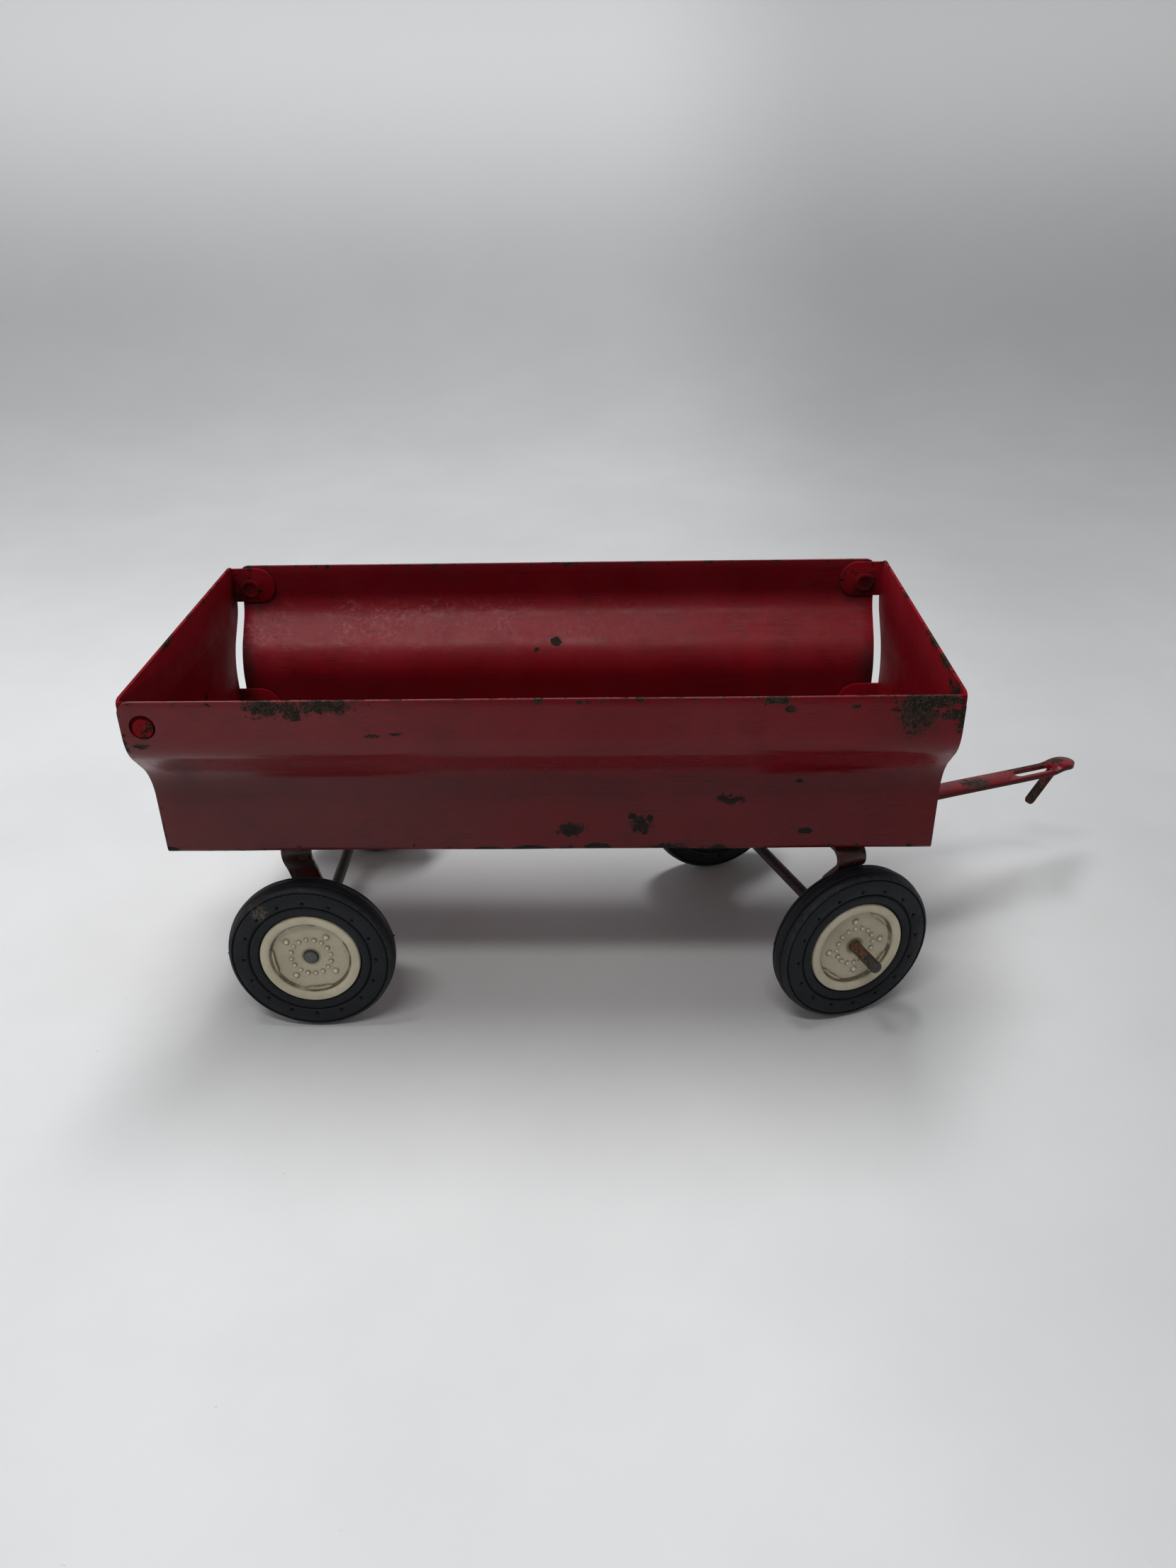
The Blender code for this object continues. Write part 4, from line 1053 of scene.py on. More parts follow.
def panel_outline():
    edge = offset_path(side_profile(10), SHEET + PANEL_CLEAR)
    top_y = edge[-1][0]
    left = edge[:-1]
    for inwards, down in ((0.0, 1.0), (0.12, 0.55), (0.45, 0.15), (1.0, 0.0)):
        left.append((top_y - inwards * PANEL_CHAMFER_Y, PANEL_TOP_Z - down * PANEL_CHAMFER_Z))
    return [(-y, z) for y, z in left] + [(y, z) for y, z in reversed(left)]


def ear_outline(z_limits, root_x):
    low, high = z_limits
    radius = (high - low) / 2.0
    outline = [(root_x, high), (root_x, low)]
    outline += arc((EAR_TIP_X + radius, low + radius), radius, -math.pi / 2, -3 * math.pi / 2, 22)
    return outline


def lean(bm, x_sign):
    """Slants an end's pieces with the leaning ends and turns them with the skewed panels."""
    for vert in bm.verts:
        vert.co.x = vert.co.x * lean_share(vert.co.z) + x_sign * PANEL_SKEW * vert.co.y


def button_x(x_sign, y_sign, z):
    return x_sign * (BUTTON_X * lean_share(z) + PANEL_SKEW * y_sign * RIM_HALF_WIDTH)


def button_profile(ear_y):
    """The clinch, from the middle of its outer face round to the dimple inside the ear."""
    outer = RIM_HALF_WIDTH
    inner = ear_y - PANEL_THICK
    return [
        (0.0, outer - 0.10 * MM),
        (1.6 * MM, outer - 0.02 * MM),
        (BUTTON_R - 0.35 * MM, outer),
        (BUTTON_R - 0.08 * MM, outer - 0.12 * MM),
        (BUTTON_R, outer - 0.40 * MM),
        (BUTTON_R, ear_y - PANEL_THICK / 2.0),
        (2.95 * MM, ear_y - PANEL_THICK / 2.0),
        (2.95 * MM, inner - 0.05 * MM),
        (2.70 * MM, inner - 0.40 * MM),
        (2.15 * MM, inner - 0.50 * MM),
        (1.70 * MM, inner - 0.35 * MM),
        (1.40 * MM, inner + 0.55 * MM),
        (0.9 * MM, inner + 0.80 * MM),
        (0.0, inner + 0.85 * MM),
    ]


def make_panel(name, x_sign, material):
    inner_x = PANEL_OUTER_X - PANEL_THICK
    bm = prism_bmesh(panel_outline(), x_sign * inner_x, x_sign * PANEL_OUTER_X, across_x)
    lean(bm, x_sign)
    panel = mesh_object(name, bm, material)
    root_x = inner_x + PANEL_THICK * 0.6
    rows = (
        (UPPER_EAR_Z, RIM_HALF_WIDTH - SHEET - PANEL_CLEAR - EAR_GAP),
        (LOWER_EAR_Z, FLOOR_HALF_WIDTH - SHEET - PANEL_CLEAR - EAR_GAP),
    )
    for y_sign in (-1, 1):
        for z_limits, outer_y in rows:
            outline = [(x_sign * x, z) for x, z in ear_outline(z_limits, root_x)]
            low = y_sign * (outer_y - PANEL_THICK)
            bm = prism_bmesh(outline, low, y_sign * outer_y, across_y)
            lean(bm, x_sign)
            boolean(panel, mesh_object("tool", bm, material), "UNION")
        if (x_sign, y_sign) in BUTTON_CORNERS:
            profile = [(r, y_sign * t) for r, t in button_profile(rows[0][1])]
            bm = turned_bmesh(profile, even_angles(ROUND_STEPS), about_y)
            spot = (button_x(x_sign, y_sign, BUTTON_Z), 0.0, BUTTON_Z)
            bmesh.ops.translate(bm, verts=bm.verts, vec=Vector(spot))
            boolean(panel, mesh_object("tool", bm, material), "UNION")
    return finished(panel)


def make_panels():
    for end, x_sign, look in (("front", 1, front_panel_enamel), ("rear", -1, rear_panel_enamel)):
        panel = make_panel(end + "_end_sheet", x_sign, look())
        settle(panel, WAGON, "wagon_box", "red_enamel", end + "_end_panel")


# ---------------------------------------------------------------- running gear

# Straps: the shoulder's y and bend radius, the tuck's radius and angle, the leg's y
REAR_STRAP = (33.4 * MM, 3.4 * MM, 10.0 * MM, math.radians(22.0), 32.0 * MM)
FRONT_STRAP = (39.6 * MM, 3.5 * MM, 3.2 * MM, math.radians(42.0), 32.4 * MM)

# Rivets, in millimetres: the shank's radius, the head's radius and height, how far the head's rim
# lies below its top, the tail's radius and height
REAR_RIVET = (1.4, 2.6, 1.0, 1.0, 2.6, 0.8)
TONGUE_RIVET = (1.4, 2.05, 0.18, 0.2, 2.6, 0.8)
KING_PIN = (2.0, 4.2, 1.7, 1.7, 3.4, 1.2)
WASHER_R = 6.0 * MM

ROD_R = 1.5875 * MM
REAR_ROD_MARGIN = 0.6 * MM
FRONT_ROD_Y = (-55.0 * MM, 41.8 * MM)
FRONT_ROD_RUST_Y = -45.0 * MM
ROD_STEPS = 150


def bolster_path(top_z, shoulder_y, shoulder_r, tuck_r, tuck_angle, leg_y):
    shoulder = (shoulder_y - shoulder_r, top_z - shoulder_r)
    points = arc(shoulder, shoulder_r, math.pi / 2, 0.0, 12)
    points += arc((shoulder_y - tuck_r, shoulder[1]), tuck_r, 0.0, -tuck_angle, 12)[1:]
    back_centre_y = leg_y + LEG_BACK_BEND_R
    back_start_y = back_centre_y - LEG_BACK_BEND_R * math.cos(tuck_angle)
    slant_z = (points[-1][0] - back_start_y) / math.tan(tuck_angle)
    back_centre_z = points[-1][1] - slant_z - LEG_BACK_BEND_R * math.sin(tuck_angle)
    back = (back_centre_y, back_centre_z)
    points += arc(back, LEG_BACK_BEND_R, math.pi - tuck_angle, math.pi, 10)
    return points, shoulder[1]


def bolster(name, path, crank_top, crank, material):
    """A bent strap with round leg ends; crank is how far its legs slant along X below crank_top."""
    leg_y, leg_top = path[-1]
    leg = [(leg_y, leg_top + (AXLE_Z - leg_top) * i / 16.0) for i in range(1, 16)]
    widths = [STRAP_HALF_WIDTH] * (len(path) + len(leg))
    tip = []
    for i in range(10):
        angle = math.radians(9.3 * i)
        tip.append((leg_y, AXLE_Z - STRAP_HALF_WIDTH * math.sin(angle)))
        widths.append(STRAP_HALF_WIDTH * math.cos(angle))
    left = path + leg + tip
    outer = [(-y, z) for y, z in reversed(left)] + left
    half_widths = list(reversed(widths)) + widths
    inner = offset_path(outer, -STRAP_THICK)
    ends = []
    for (_, z), half in zip(outer, half_widths):
        share = min(max((crank_top - z) / (crank_top - CRANK_END_Z), 0.0), 1.0)
        shift = crank * share * share * (3.0 - 2.0 * share)
        ends.append((shift - half, shift + half))
    strap = mesh_object(name, strip_bmesh(outer, inner, ends, across_x), material)
    drill(strap, ROD_HOLE_R, (crank, 0.0, AXLE_Z), about_y, 60.0 * MM)
    return strap


def domed_profile(shank_r, head_r, head_h, tail_r, tail_h, head_z, tail_z):
    """A rivet from the middle of its tail to the middle of its round head."""
    head = []
    for i in range(1, 9):
        angle = math.pi / 2 * i / 8
        head.append((head_r * math.cos(angle), head_z + head_h * (0.2 + 0.8 * math.sin(angle))))
    tail = []
    for i in range(7):
        angle = math.pi / 2 * (1.0 - i / 7)
        tail.append((tail_r * math.cos(angle) ** 0.7, tail_z - tail_h * math.sin(angle)))
    points = [(0.0, tail_z - tail_h)] + tail[1:] + [(tail_r, tail_z), (shank_r, tail_z)]
    points += [(shank_r, head_z), (head_r, head_z), (head_r, head_z + 0.2 * head_h)] + head[:-1]
    return points + [(0.0, head_z + head_h)]


def make_rivet(name, node, sizes, y, place, body, material):
    low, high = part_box(node)
    shank_r, head_r, head_h, rim_drop, tail_r, tail_h = (size * MM for size in sizes)
    ends = (high.z - rim_drop, low.z + tail_h)
    profile = domed_profile(shank_r, head_r, head_h, tail_r, tail_h, *ends)
    rivet = mesh_object(name, turned_bmesh(profile, even_angles(36), about_z), material)
    rivet.data.set_sharp_from_angle(angle=RIVET_SHARP_ANGLE)
    settle(rivet, place @ Matrix.Translation((0.0, y, 0.0)), body, "dark_steel", node)


def make_bolsters(steel, maroon):
    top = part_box("rear_bolster")[1].z
    path, crank_top = bolster_path(top, *REAR_STRAP)
    rear = bolster("rear_bolster_strap", path, crank_top, REAR_AXLE_X - REAR_BOLSTER_X, maroon)
    drill_rivet_holes(rear, 0.0, REAR_RIVET_Y, top)
    place = WAGON @ Matrix.Translation((REAR_BOLSTER_X, 0.0, 0.0))
    settle(finished(rear), place, "wagon_box", "red_enamel_dull", "rear_bolster")
    for side, sign in (("left", 1), ("right", -1)):
        names = f"rear_rivet_{side}", f"rear_bolster_rivet_{side}"
        make_rivet(*names, REAR_RIVET, sign * REAR_RIVET_Y, place, "wagon_box", steel)

    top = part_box("front_bolster")[1].z
    path, crank_top = bolster_path(top, *FRONT_STRAP)
    front = bolster("front_bolster_strap", path, crank_top, 0.0, maroon)
    drill(front, PIN_HOLE_R, (0.0, 0.0, top), about_z)
    drill_rivet_holes(front, 0.0, TONGUE_RIVET_Y, top)
    settle(finished(front), STEERED, "front_bolster_and_tongue", "red_enamel_dull", "front_bolster")
    place = Matrix.Translation((SWIVEL.x, SWIVEL.y, 0.0))
    make_rivet("king_pin_rivet", "king_pin", KING_PIN, 0.0, place, "wagon_box", steel)

    low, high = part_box("swivel_washer")
    outline = [(PIN_HOLE_R, low.z), (WASHER_R, low.z), (WASHER_R, high.z), (PIN_HOLE_R, high.z)]
    bm = turned_bmesh(outline, even_angles(48), about_z, ring=True)
    washer = finished(mesh_object("swivel_spacer", bm, steel), edge=0.08 * MM)
    settle(washer, STEERED, "front_bolster_and_tongue", "dark_steel", "swivel_washer")


def tongue_path():
    drop = TONGUE_ROOT_TOP - TONGUE_TOP_Z
    lower_r = TONGUE_BEND_R + TONGUE_THICK
    bend_rise = (TONGUE_BEND_R + lower_r) * (1.0 - math.cos(TONGUE_STEP_ANGLE))
    slope_run = (drop - bend_rise) / math.tan(TONGUE_STEP_ANGLE)
    first = (TONGUE_ROOT_REACH + 2.0 * TONGUE_BEND_R, TONGUE_ROOT_TOP - TONGUE_BEND_R)
    up = math.pi / 2
    points = [(-TONGUE_ROOT_REACH, TONGUE_ROOT_TOP), (TONGUE_ROOT_REACH, TONGUE_ROOT_TOP)]
    points += arc(first, TONGUE_BEND_R, up, up - TONGUE_STEP_ANGLE, 8)
    second_x = first[0] + (TONGUE_BEND_R + lower_r) * math.sin(TONGUE_STEP_ANGLE) + slope_run
    second = (second_x, TONGUE_TOP_Z + lower_r)
    points += arc(second, lower_r, -up - TONGUE_STEP_ANGLE, -up, 8)
    return points


def tongue_stations():
    path = tongue_path()
    neck = path[1][0] + 1.2 * MM
    stations = [(*path[0], TONGUE_ROOT_HALF_WIDTH), (*path[1], TONGUE_ROOT_HALF_WIDTH)]
    stations.append((neck, path[1][1], TONGUE_HALF_WIDTH))
    stations += [(x, z, TONGUE_HALF_WIDTH) for x, z in path[2:]]
    rise_start = SLOT_END - 2.0 * MM
    round_start = TONGUE_REACH - TONGUE_HALF_WIDTH
    plain = stations[-1][0]
    for i in range(1, 12):
        x = plain + (rise_start - plain) * i / 12
        wave = 0.18 * MM * math.sin(math.pi * i / 12.0) * math.sin(4.0 * i / 12.0)
        stations.append((x, TONGUE_TOP_Z + wave, TONGUE_HALF_WIDTH))
    rise_end = round_start - 1.0 * MM
    for i in range(7):
        share = i / 6.0
        x = rise_start + (rise_end - rise_start) * share
        height = TONGUE_TIP_RISE * share * share * (3.0 - 2.0 * share)
        stations.append((x, TONGUE_TOP_Z + height, TONGUE_HALF_WIDTH))
    for i in range(13):
        angle = math.radians(7.0 * i)
        x = round_start + TONGUE_HALF_WIDTH * math.sin(angle)
        stations.append((x, TONGUE_TOP_Z + TONGUE_TIP_RISE, TONGUE_HALF_WIDTH * math.cos(angle)))
    return stations


def hook_mesh():
    """The tab that the slot was cut for, bent down and back under the tongue."""
    root_z = TONGUE_TOP_Z + TONGUE_TIP_RISE - 0.4 * MM
    tip = Vector(HOOK_TIP)
    bend = Vector(HOOK_BEND)
    along = (tip - bend).normalized()
    path = [(HOOK_ROOT, root_z), (HOOK_ROOT - 0.3 * MM, root_z - 1.6 * MM), HOOK_BEND]
    widths = [HOOK_HALF_WIDTH] * len(path)
    for i in range(8):
        angle = math.radians(11.0 * i)
        path.append(tuple(tip + along * HOOK_HALF_WIDTH * (math.sin(angle) - 1.0)))
        widths.append(HOOK_HALF_WIDTH * math.cos(angle))
    other = offset_path(path, -HOOK_THICK)
    return strip_bmesh(path, other, [(-half, half) for half in widths], across_y)


def make_tongue(steel):
    material = tongue_enamel()
    stations = tongue_stations()
    outer = [(x, z) for x, z, _ in stations]
    inner = offset_path(outer, -TONGUE_THICK)
    ends = [(-half, half) for _, _, half in stations]
    tongue = mesh_object("pull_tongue", strip_bmesh(outer, inner, ends, across_y), material)
    half = SLOT_HALF_WIDTH
    outline = arc((SLOT_END - half, 0.0), half, -math.pi / 2, math.pi / 2, 14)
    outline += arc((SLOT_START + half, 0.0), half, math.pi / 2, 3 * math.pi / 2, 14)
    low = TONGUE_TOP_Z - 3.0 * TONGUE_THICK
    high = TONGUE_TOP_Z + 3.0 * TONGUE_THICK
    cutter = prism_bmesh(outline, low, high, about_z)
    boolean(tongue, mesh_object("tool", cutter, material), "DIFFERENCE")
    boolean(tongue, mesh_object("tool", hook_mesh(), material), "UNION")
    drill(tongue, PIN_HOLE_R, (0.0, 0.0, TONGUE_ROOT_TOP), about_z)
    drill_rivet_holes(tongue, 0.0, TONGUE_RIVET_Y, TONGUE_ROOT_TOP)
    finished(tongue, edge=0.2 * MM)
    body = "front_bolster_and_tongue"
    settle(tongue, STEERED, body, "red_enamel_dull", "tongue", square=True)
    for side, sign in (("left", 1), ("right", -1)):
        names = f"tongue_root_rivet_{side}", f"tongue_rivet_{side}"
        make_rivet(*names, TONGUE_RIVET, sign * TONGUE_RIVET_Y, STEERED, body, steel)


def rod_mesh(low, high, heads, rough_until):
    """A rod about Y. It is rough with rust up to rough_until; heads adds peened ends."""
    def rough(radius, along, angle):
        if along > rough_until or radius < 0.5 * ROD_R:
            return radius, along
        spot = Vector((math.cos(angle) * 1.6, math.sin(angle) * 1.6, along / MM * 0.9))
        return radius - abs(noise.noise(spot * 1.7)) * 0.16 * MM, along

    body = [(ROD_R, low + (high - low) * i / ROD_STEPS) for i in range(1, ROD_STEPS)]
    if heads:
        head = [(0.0, -0.6), (0.7, -0.58), (1.3, -0.5), (1.75, -0.36), (1.98, -0.15), (2.0, 0.0)]
        start = [(r * MM, low + t * MM) for r, t in head] + [(ROD_R, low)]
        end = [(ROD_R, high)] + [(r * MM, high - t * MM) for r, t in reversed(head)]
    else:
        start = [(0.0, low), (ROD_R - 0.30 * MM, low)]
        start += [(ROD_R - 0.08 * MM, low + 0.08 * MM), (ROD_R, low + 0.3 * MM)]
        end = [(r, high + low - t) for r, t in reversed(start)]
    return turned_bmesh(start + body + end, even_angles(ROUND_STEPS), about_y, shift=rough)


def make_rods():
    near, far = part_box("rear_axle_rod")
    low = near.y - WAGON_ORIGIN.y + REAR_ROD_MARGIN
    high = far.y - WAGON_ORIGIN.y - REAR_ROD_MARGIN
    rod = mesh_object("rear_rod", rod_mesh(low, high, True, -1.0), rear_rod_steel())
    rod.data.set_sharp_from_angle(angle=ROD_SHARP_ANGLE)
    place = WAGON @ Matrix.Translation((REAR_AXLE_X, 0.0, AXLE_Z))
    settle(rod, place, "wagon_box", "dark_steel", "rear_axle_rod")
    mesh = rod_mesh(*FRONT_ROD_Y, False, FRONT_ROD_RUST_Y)
    rod = mesh_object("front_rod", mesh, front_rod_steel())
    rod.data.set_sharp_from_angle(angle=ROD_SHARP_ANGLE)
    place = STEERED @ Matrix.Translation((0.0, 0.0, AXLE_Z))
    settle(rod, place, "front_bolster_and_tongue", "dark_steel", "front_axle_rod", square=True)


# ---------------------------------------------------------------- wheels

# Degrees from one pit at which the tyre's mesh has its stations
PIT_OFFSETS = (-1.7, -1.15, -0.6, 0.0, 0.6, 1.15, 1.7, 4.6, 7.9, 11.25, 14.6, 17.9)

# Profiles of (radius, distance inwards from the outer face), in millimetres
TYRE_WIDTH = 7.7
TYRE_WALL = [
    (13.5, 0.75), (13.7, 0.30), (14.3, 0.05), (15.3, 0.02), (15.82, 0.12), (16.0, 0.50),
    (16.22, 0.50), (16.4, 0.10), (16.7, -0.08), (17.0, -0.15), (17.25, -0.17), (17.5, -0.18),
    (17.75, -0.19), (18.0, -0.19), (18.3, -0.18), (18.9, -0.13), (19.8, 0.02), (20.24, 0.14),
    (20.38, 0.52), (20.56, 0.55), (20.70, 0.18), (21.0, 0.32), (21.35, 0.62), (21.65, 1.05),
    (21.85, 1.55), (21.9, 1.85),
]
TYRE_TREAD = [
    (21.05, 1.98), (21.05, 2.28), (21.98, 2.42), (22.12, 2.9), (22.19, 3.35), (22.225, 3.85),
]
TYRE_SEAT = [(13.6, 5.5), (11.75, 5.1), (11.75, 2.2), (13.6, 1.85)]
HUB_PROFILE = [
    (1.66, 1.7), (4.0, 1.7), (7.0, 1.72), (9.6, 1.7), (10.3, 1.62), (10.62, 1.35), (10.75, 0.8),
    (10.95, 0.3), (11.3, 0.05), (11.8, 0.0), (12.6, 0.0), (13.05, 0.08), (13.27, 0.4), (13.3, 1.3),
    (13.1, 1.5), (11.45, 1.85), (11.45, 5.4), (13.1, 5.75), (13.3, 6.0), (13.3, 6.9), (13.1, 7.1),
    (10.4, 7.1), (10.1, 6.8), (9.8, 3.7), (4.5, 3.7), (4.2, 4.2), (4.1, 12.2), (3.9, 12.4),
    (1.66, 12.4),
]
NUB_R = 22.0 * MM
NUB_HALF_WIDTH = 0.22 * MM
DISH_DEPTH = 1.7 * MM
DISH_WALL_R = 10.75 * MM
STUD_SINK = 0.1 * MM
STUD_HEIGHT = 0.6 * MM
CRESCENT_TIP = 0.32 * MM
CRESCENT_BOW = 0.83 * MM
CRESCENT_HEIGHT = 0.75 * MM


def tyre_mesh(seed):
    """Tyre about Y with two tread grooves, and a bead line and a ring of pits on each side."""
    half = TYRE_WALL + TYRE_TREAD
    profile = half + [(r, TYRE_WIDTH - t) for r, t in reversed(half[:-1])] + TYRE_SEAT
    profile = [(r * MM, t * MM) for r, t in softened(profile)]
    pitch = 2.0 * math.pi / PITS
    angles = [pitch * k + math.radians(extra) for k in range(PITS) for extra in PIT_OFFSETS]

    def worn(radius, along, angle):
        if radius < 13.4 * MM:
            return radius, along
        around = (angle + pitch / 2.0) % pitch - pitch / 2.0
        reach = math.hypot(around * radius, radius - PIT_REACH * MM) / (0.44 * MM)
        depth = 0.60 * MM * math.exp(-reach * reach)
        along += depth if along < TYRE_WIDTH / 2.0 * MM else -depth
        spot = Vector((math.cos(angle) * radius, math.sin(angle) * radius, along)) * 260.0
        lump = noise.noise(spot + Vector((seed * 5.3, seed, 0.0)))
        fine = noise.noise(spot * 3.1 + Vector((0.0, seed * 3.7, 2.0)))
        shrink = (0.5 * abs(lump) + 0.25 * abs(fine)) * 0.16 * MM
        if radius > 20.6 * MM:
            radius -= shrink
        else:
            along += shrink if along < TYRE_WIDTH / 2.0 * MM else -shrink
        return radius, along

    return turned_bmesh(profile, angles, about_y, ring=True, shift=worn)


def nub_mesh(radius, along, angle, length, width):
    """A sliver of mould flash left standing on the tread's edge."""
    bm = bmesh.new()
    base = []
    for da, dt in ((-1.0, -0.5), (1.0, -0.5), (1.0, 0.5), (-1.0, 0.5)):
        a = angle + da * width / radius
        base.append(bm.verts.new((radius * math.cos(a), along + dt * width, radius * math.sin(a))))
    a = angle + 1.2 * width / radius
    tip = bm.verts.new(((radius + length) * math.cos(a), along, (radius + length) * math.sin(a)))
    bm.faces.new(base)
    for i in range(4):
        bm.faces.new((base[i], base[(i + 1) % 4], tip))
    return bm


def stud_mesh(angle, reach, radius):
    """A low round stud standing out of the dish towards -Y."""
    profile = [(0.0, DISH_DEPTH + STUD_SINK), (radius, DISH_DEPTH + STUD_SINK)]
    for i in range(5):
        up = math.pi / 2 * i / 5
        profile.append((radius * math.cos(up), DISH_DEPTH - STUD_HEIGHT * math.sin(up)))
    profile.append((0.0, DISH_DEPTH - STUD_HEIGHT))
    bm = turned_bmesh(profile, even_angles(14), about_y)
    spot = Vector((reach * MM * math.cos(angle), 0.0, reach * MM * math.sin(angle)))
    bmesh.ops.translate(bm, verts=bm.verts, vec=spot)
    return bm


def crescent_mesh(middle):
    """A raised crescent along the dish's wall."""
    steps = 18
    outer = []
    inner = []
    for i in range(steps + 1):
        share = 2.0 * i / steps - 1.0
        angle = middle + share * math.radians(CRESCENT_SPAN) / 2.0
        outer.append((DISH_WALL_R * math.cos(angle), DISH_WALL_R * math.sin(angle)))
        radius = DISH_WALL_R - CRESCENT_TIP - CRESCENT_BOW * (1.0 - share ** 4)
        inner.append((radius * math.cos(angle), radius * math.sin(angle)))
    outline = outer + inner[::-1]
    return prism_bmesh(outline, DISH_DEPTH + STUD_SINK, DISH_DEPTH - CRESCENT_HEIGHT, across_y)


def make_hub(name, material):
    profile = [(r * MM, t * MM) for r, t in HUB_PROFILE]
    bm = turned_bmesh(profile, even_angles(96), about_y, ring=True)
    pieces = [mesh_object(name + "_disc", bm, material)]
    for i, angle in enumerate(even_angles(SMALL_STUDS)):
        bm = stud_mesh(angle, SMALL_STUD_REACH, (0.60 if i % 2 else 0.45) * MM)
        pieces.append(mesh_object("stud", bm, material))
    for angle in even_angles(BIG_STUDS):
        pieces.append(mesh_object("stud", stud_mesh(angle, BIG_STUD_REACH, 0.75 * MM), material))
        crescent = mesh_object("crescent", crescent_mesh(angle + math.pi / BIG_STUDS), material)
        pieces.append(finished(crescent, edge=0.12 * MM))
    return join(name, pieces)


def make_wheel(wheel, face, angle, rubber, cream, turn, nubs, seed):
    """face is the middle of the hub's outer face; angle turns the frame so that +Y is inwards."""
    body = wheel + "_wheel"
    place = Matrix.Translation(face) @ Matrix.Rotation(angle, 4, "Z")
    hub = make_hub(wheel + "_hub_moulding", cream)
    settle(hub, place @ Matrix.Rotation(-turn, 4, "Y"), body, "cream_hub", wheel + "_hub")
    parts = [mesh_object(wheel + "_rubber", tyre_mesh(seed), rubber)]
    for degrees, along, length in nubs:
        bm = nub_mesh(NUB_R, along * MM, math.radians(degrees), length * MM, NUB_HALF_WIDTH)
        parts.append(mesh_object("nub", bm, rubber))
    tyre = join(wheel + "_tyre_rubber", parts)
    settle(tyre, place, body, "tyre_rubber", wheel + "_tyre")


def make_wheels():
    cream = cream_plastic()
    plain_rubber = tyre_rubber("tyre_rubber", None)
    patched = tyre_rubber("tyre_rubber_dusty", ((-11.6, 0.0, 14.7), (2.9, 3.0, 3.6)))
    sides = (("rear_right", patched, 0.918), ("rear_left", plain_rubber, 0.2),
             ("front_right", plain_rubber, 0.04), ("front_left", plain_rubber, 1.4))
    nubs = {
        "rear_right": ((178.0, 2.3, 0.5), (10.0, 5.5, 0.7), (-35.0, 5.6, 0.4), (205.0, 2.2, 0.5)),
        "front_right": ((170.0, 5.5, 0.8), (-55.0, 2.2, 0.9), (-48.0, 2.4, 0.5), (95.0, 5.4, 0.5)),
        "rear_left": ((60.0, 2.3, 0.5), (200.0, 5.4, 0.5)),
        "front_left": ((130.0, 2.3, 0.6), (15.0, 5.4, 0.4)),
    }
    for seed, (wheel, rubber, turn) in enumerate(sides):
        joint = JOINTS[wheel + "_wheel_spin"]
        axis = Vector(joint["axis"])
        angle = math.atan2(-axis.x, axis.y)
        if wheel.endswith("left"):
            angle += math.pi
        face = joint["pos_m"]
        make_wheel(wheel, face, angle, rubber, cream, turn, nubs[wheel], seed)


# ---------------------------------------------------------------- studio

def make_studio():
    """A round table whose rim sweeps up into the backdrop."""
    profile = [(0.0, 0.0), (0.3, 0.0)]
    profile += arc((TABLE_FLAT_R, TABLE_SWEEP_R), TABLE_SWEEP_R, -math.pi / 2, 0.0, 24)
    profile.append((TABLE_FLAT_R + TABLE_SWEEP_R + 0.05, TABLE_TOP_Z))
    bm = turned_bmesh(profile, even_angles(96), about_z)
    table = mesh_object("studio_table", bm, studio_white())
    if table.data.polygons[0].normal.z < 0.0:
        table.data.flip_normals()


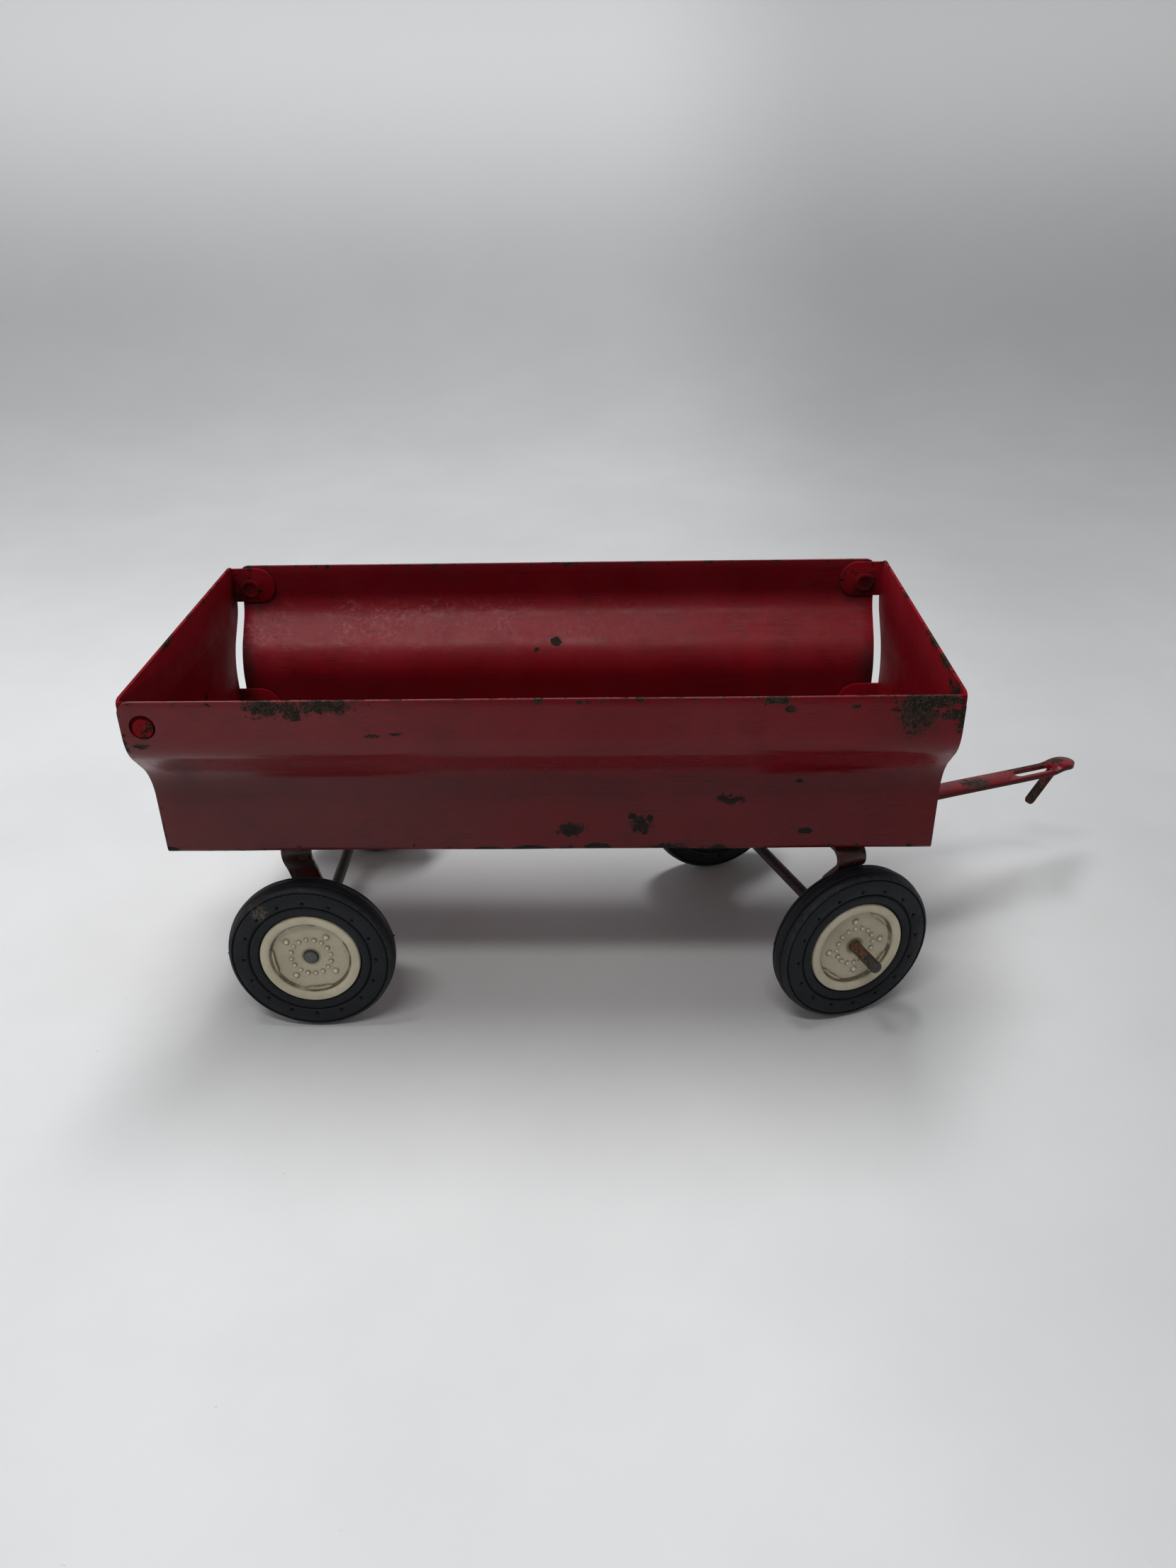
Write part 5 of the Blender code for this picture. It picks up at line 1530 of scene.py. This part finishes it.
def strip_light(name, offset, size_x, size_y, watts, colour, turn=0.0):
    """A lamp at this offset from the wagon's origin, aimed at it; turn is about its own axis."""
    data = bpy.data.lights.new(name, "AREA")
    data.shape = "RECTANGLE"
    data.size = size_x
    data.size_y = size_y
    data.energy = watts
    data.color = colour
    lamp = linked(name, data)
    lamp.location = WAGON_ORIGIN + Vector(offset)
    facing = (WAGON_ORIGIN - lamp.location).to_track_quat("-Z", "Y").to_matrix()
    lamp.rotation_euler = (facing @ Matrix.Rotation(turn, 3, "Z")).to_euler()


def make_lights():
    strip_light("front_strip", FRONT_LAMP_AT, 0.75, 0.12, 6.0, (1.0, 0.99, 0.97))
    turn = math.radians(35.0)
    strip_light("overhead_strip", UPPER_LAMP_AT, 1.3, 0.30, 19.0, (0.99, 0.995, 1.0), turn)
    world = bpy.data.worlds.new("studio_air")
    bpy.context.scene.world = world
    world.use_nodes = True
    background = world.node_tree.nodes["Background"]
    background.inputs["Color"].default_value = (0.86, 0.90, 0.95, 1.0)
    background.inputs["Strength"].default_value = 0.12
    bpy.context.scene.view_settings.view_transform = "Standard"


def make_camera():
    yaw_cos, yaw_sin = math.cos(CAMERA_YAW), math.sin(CAMERA_YAW)
    right = Vector((yaw_cos, yaw_sin, 0.0))
    pitch_cos = math.cos(CAMERA_PITCH)
    forward = Vector((-yaw_sin * pitch_cos, yaw_cos * pitch_cos, -math.sin(CAMERA_PITCH)))
    up = right.cross(forward)
    roll_cos, roll_sin = math.cos(CAMERA_ROLL), math.sin(CAMERA_ROLL)
    rolled_right = roll_cos * right + roll_sin * up
    rolled_up = roll_cos * up - roll_sin * right
    turn = Matrix((rolled_right, rolled_up, -forward)).transposed().to_4x4()
    data = bpy.data.cameras.new("camera")
    data.lens = CAMERA_LENS
    data.sensor_width = 36.0
    camera = linked("camera", data)
    camera.matrix_world = Matrix.Translation(WAGON_ORIGIN + CAMERA_AT) @ turn
    bpy.context.scene.camera = camera


make_camera()
make_studio()
make_lights()
make_box()
make_panels()
dark_steel = worn_steel("dark_steel", 0.46, 0.58, 0.10)
bolster_paint = shaded_enamel("bolster_enamel")
make_bolsters(dark_steel, bolster_paint)
make_tongue(dark_steel)
make_rods()
make_wheels()

bpy.context.view_layer.update()
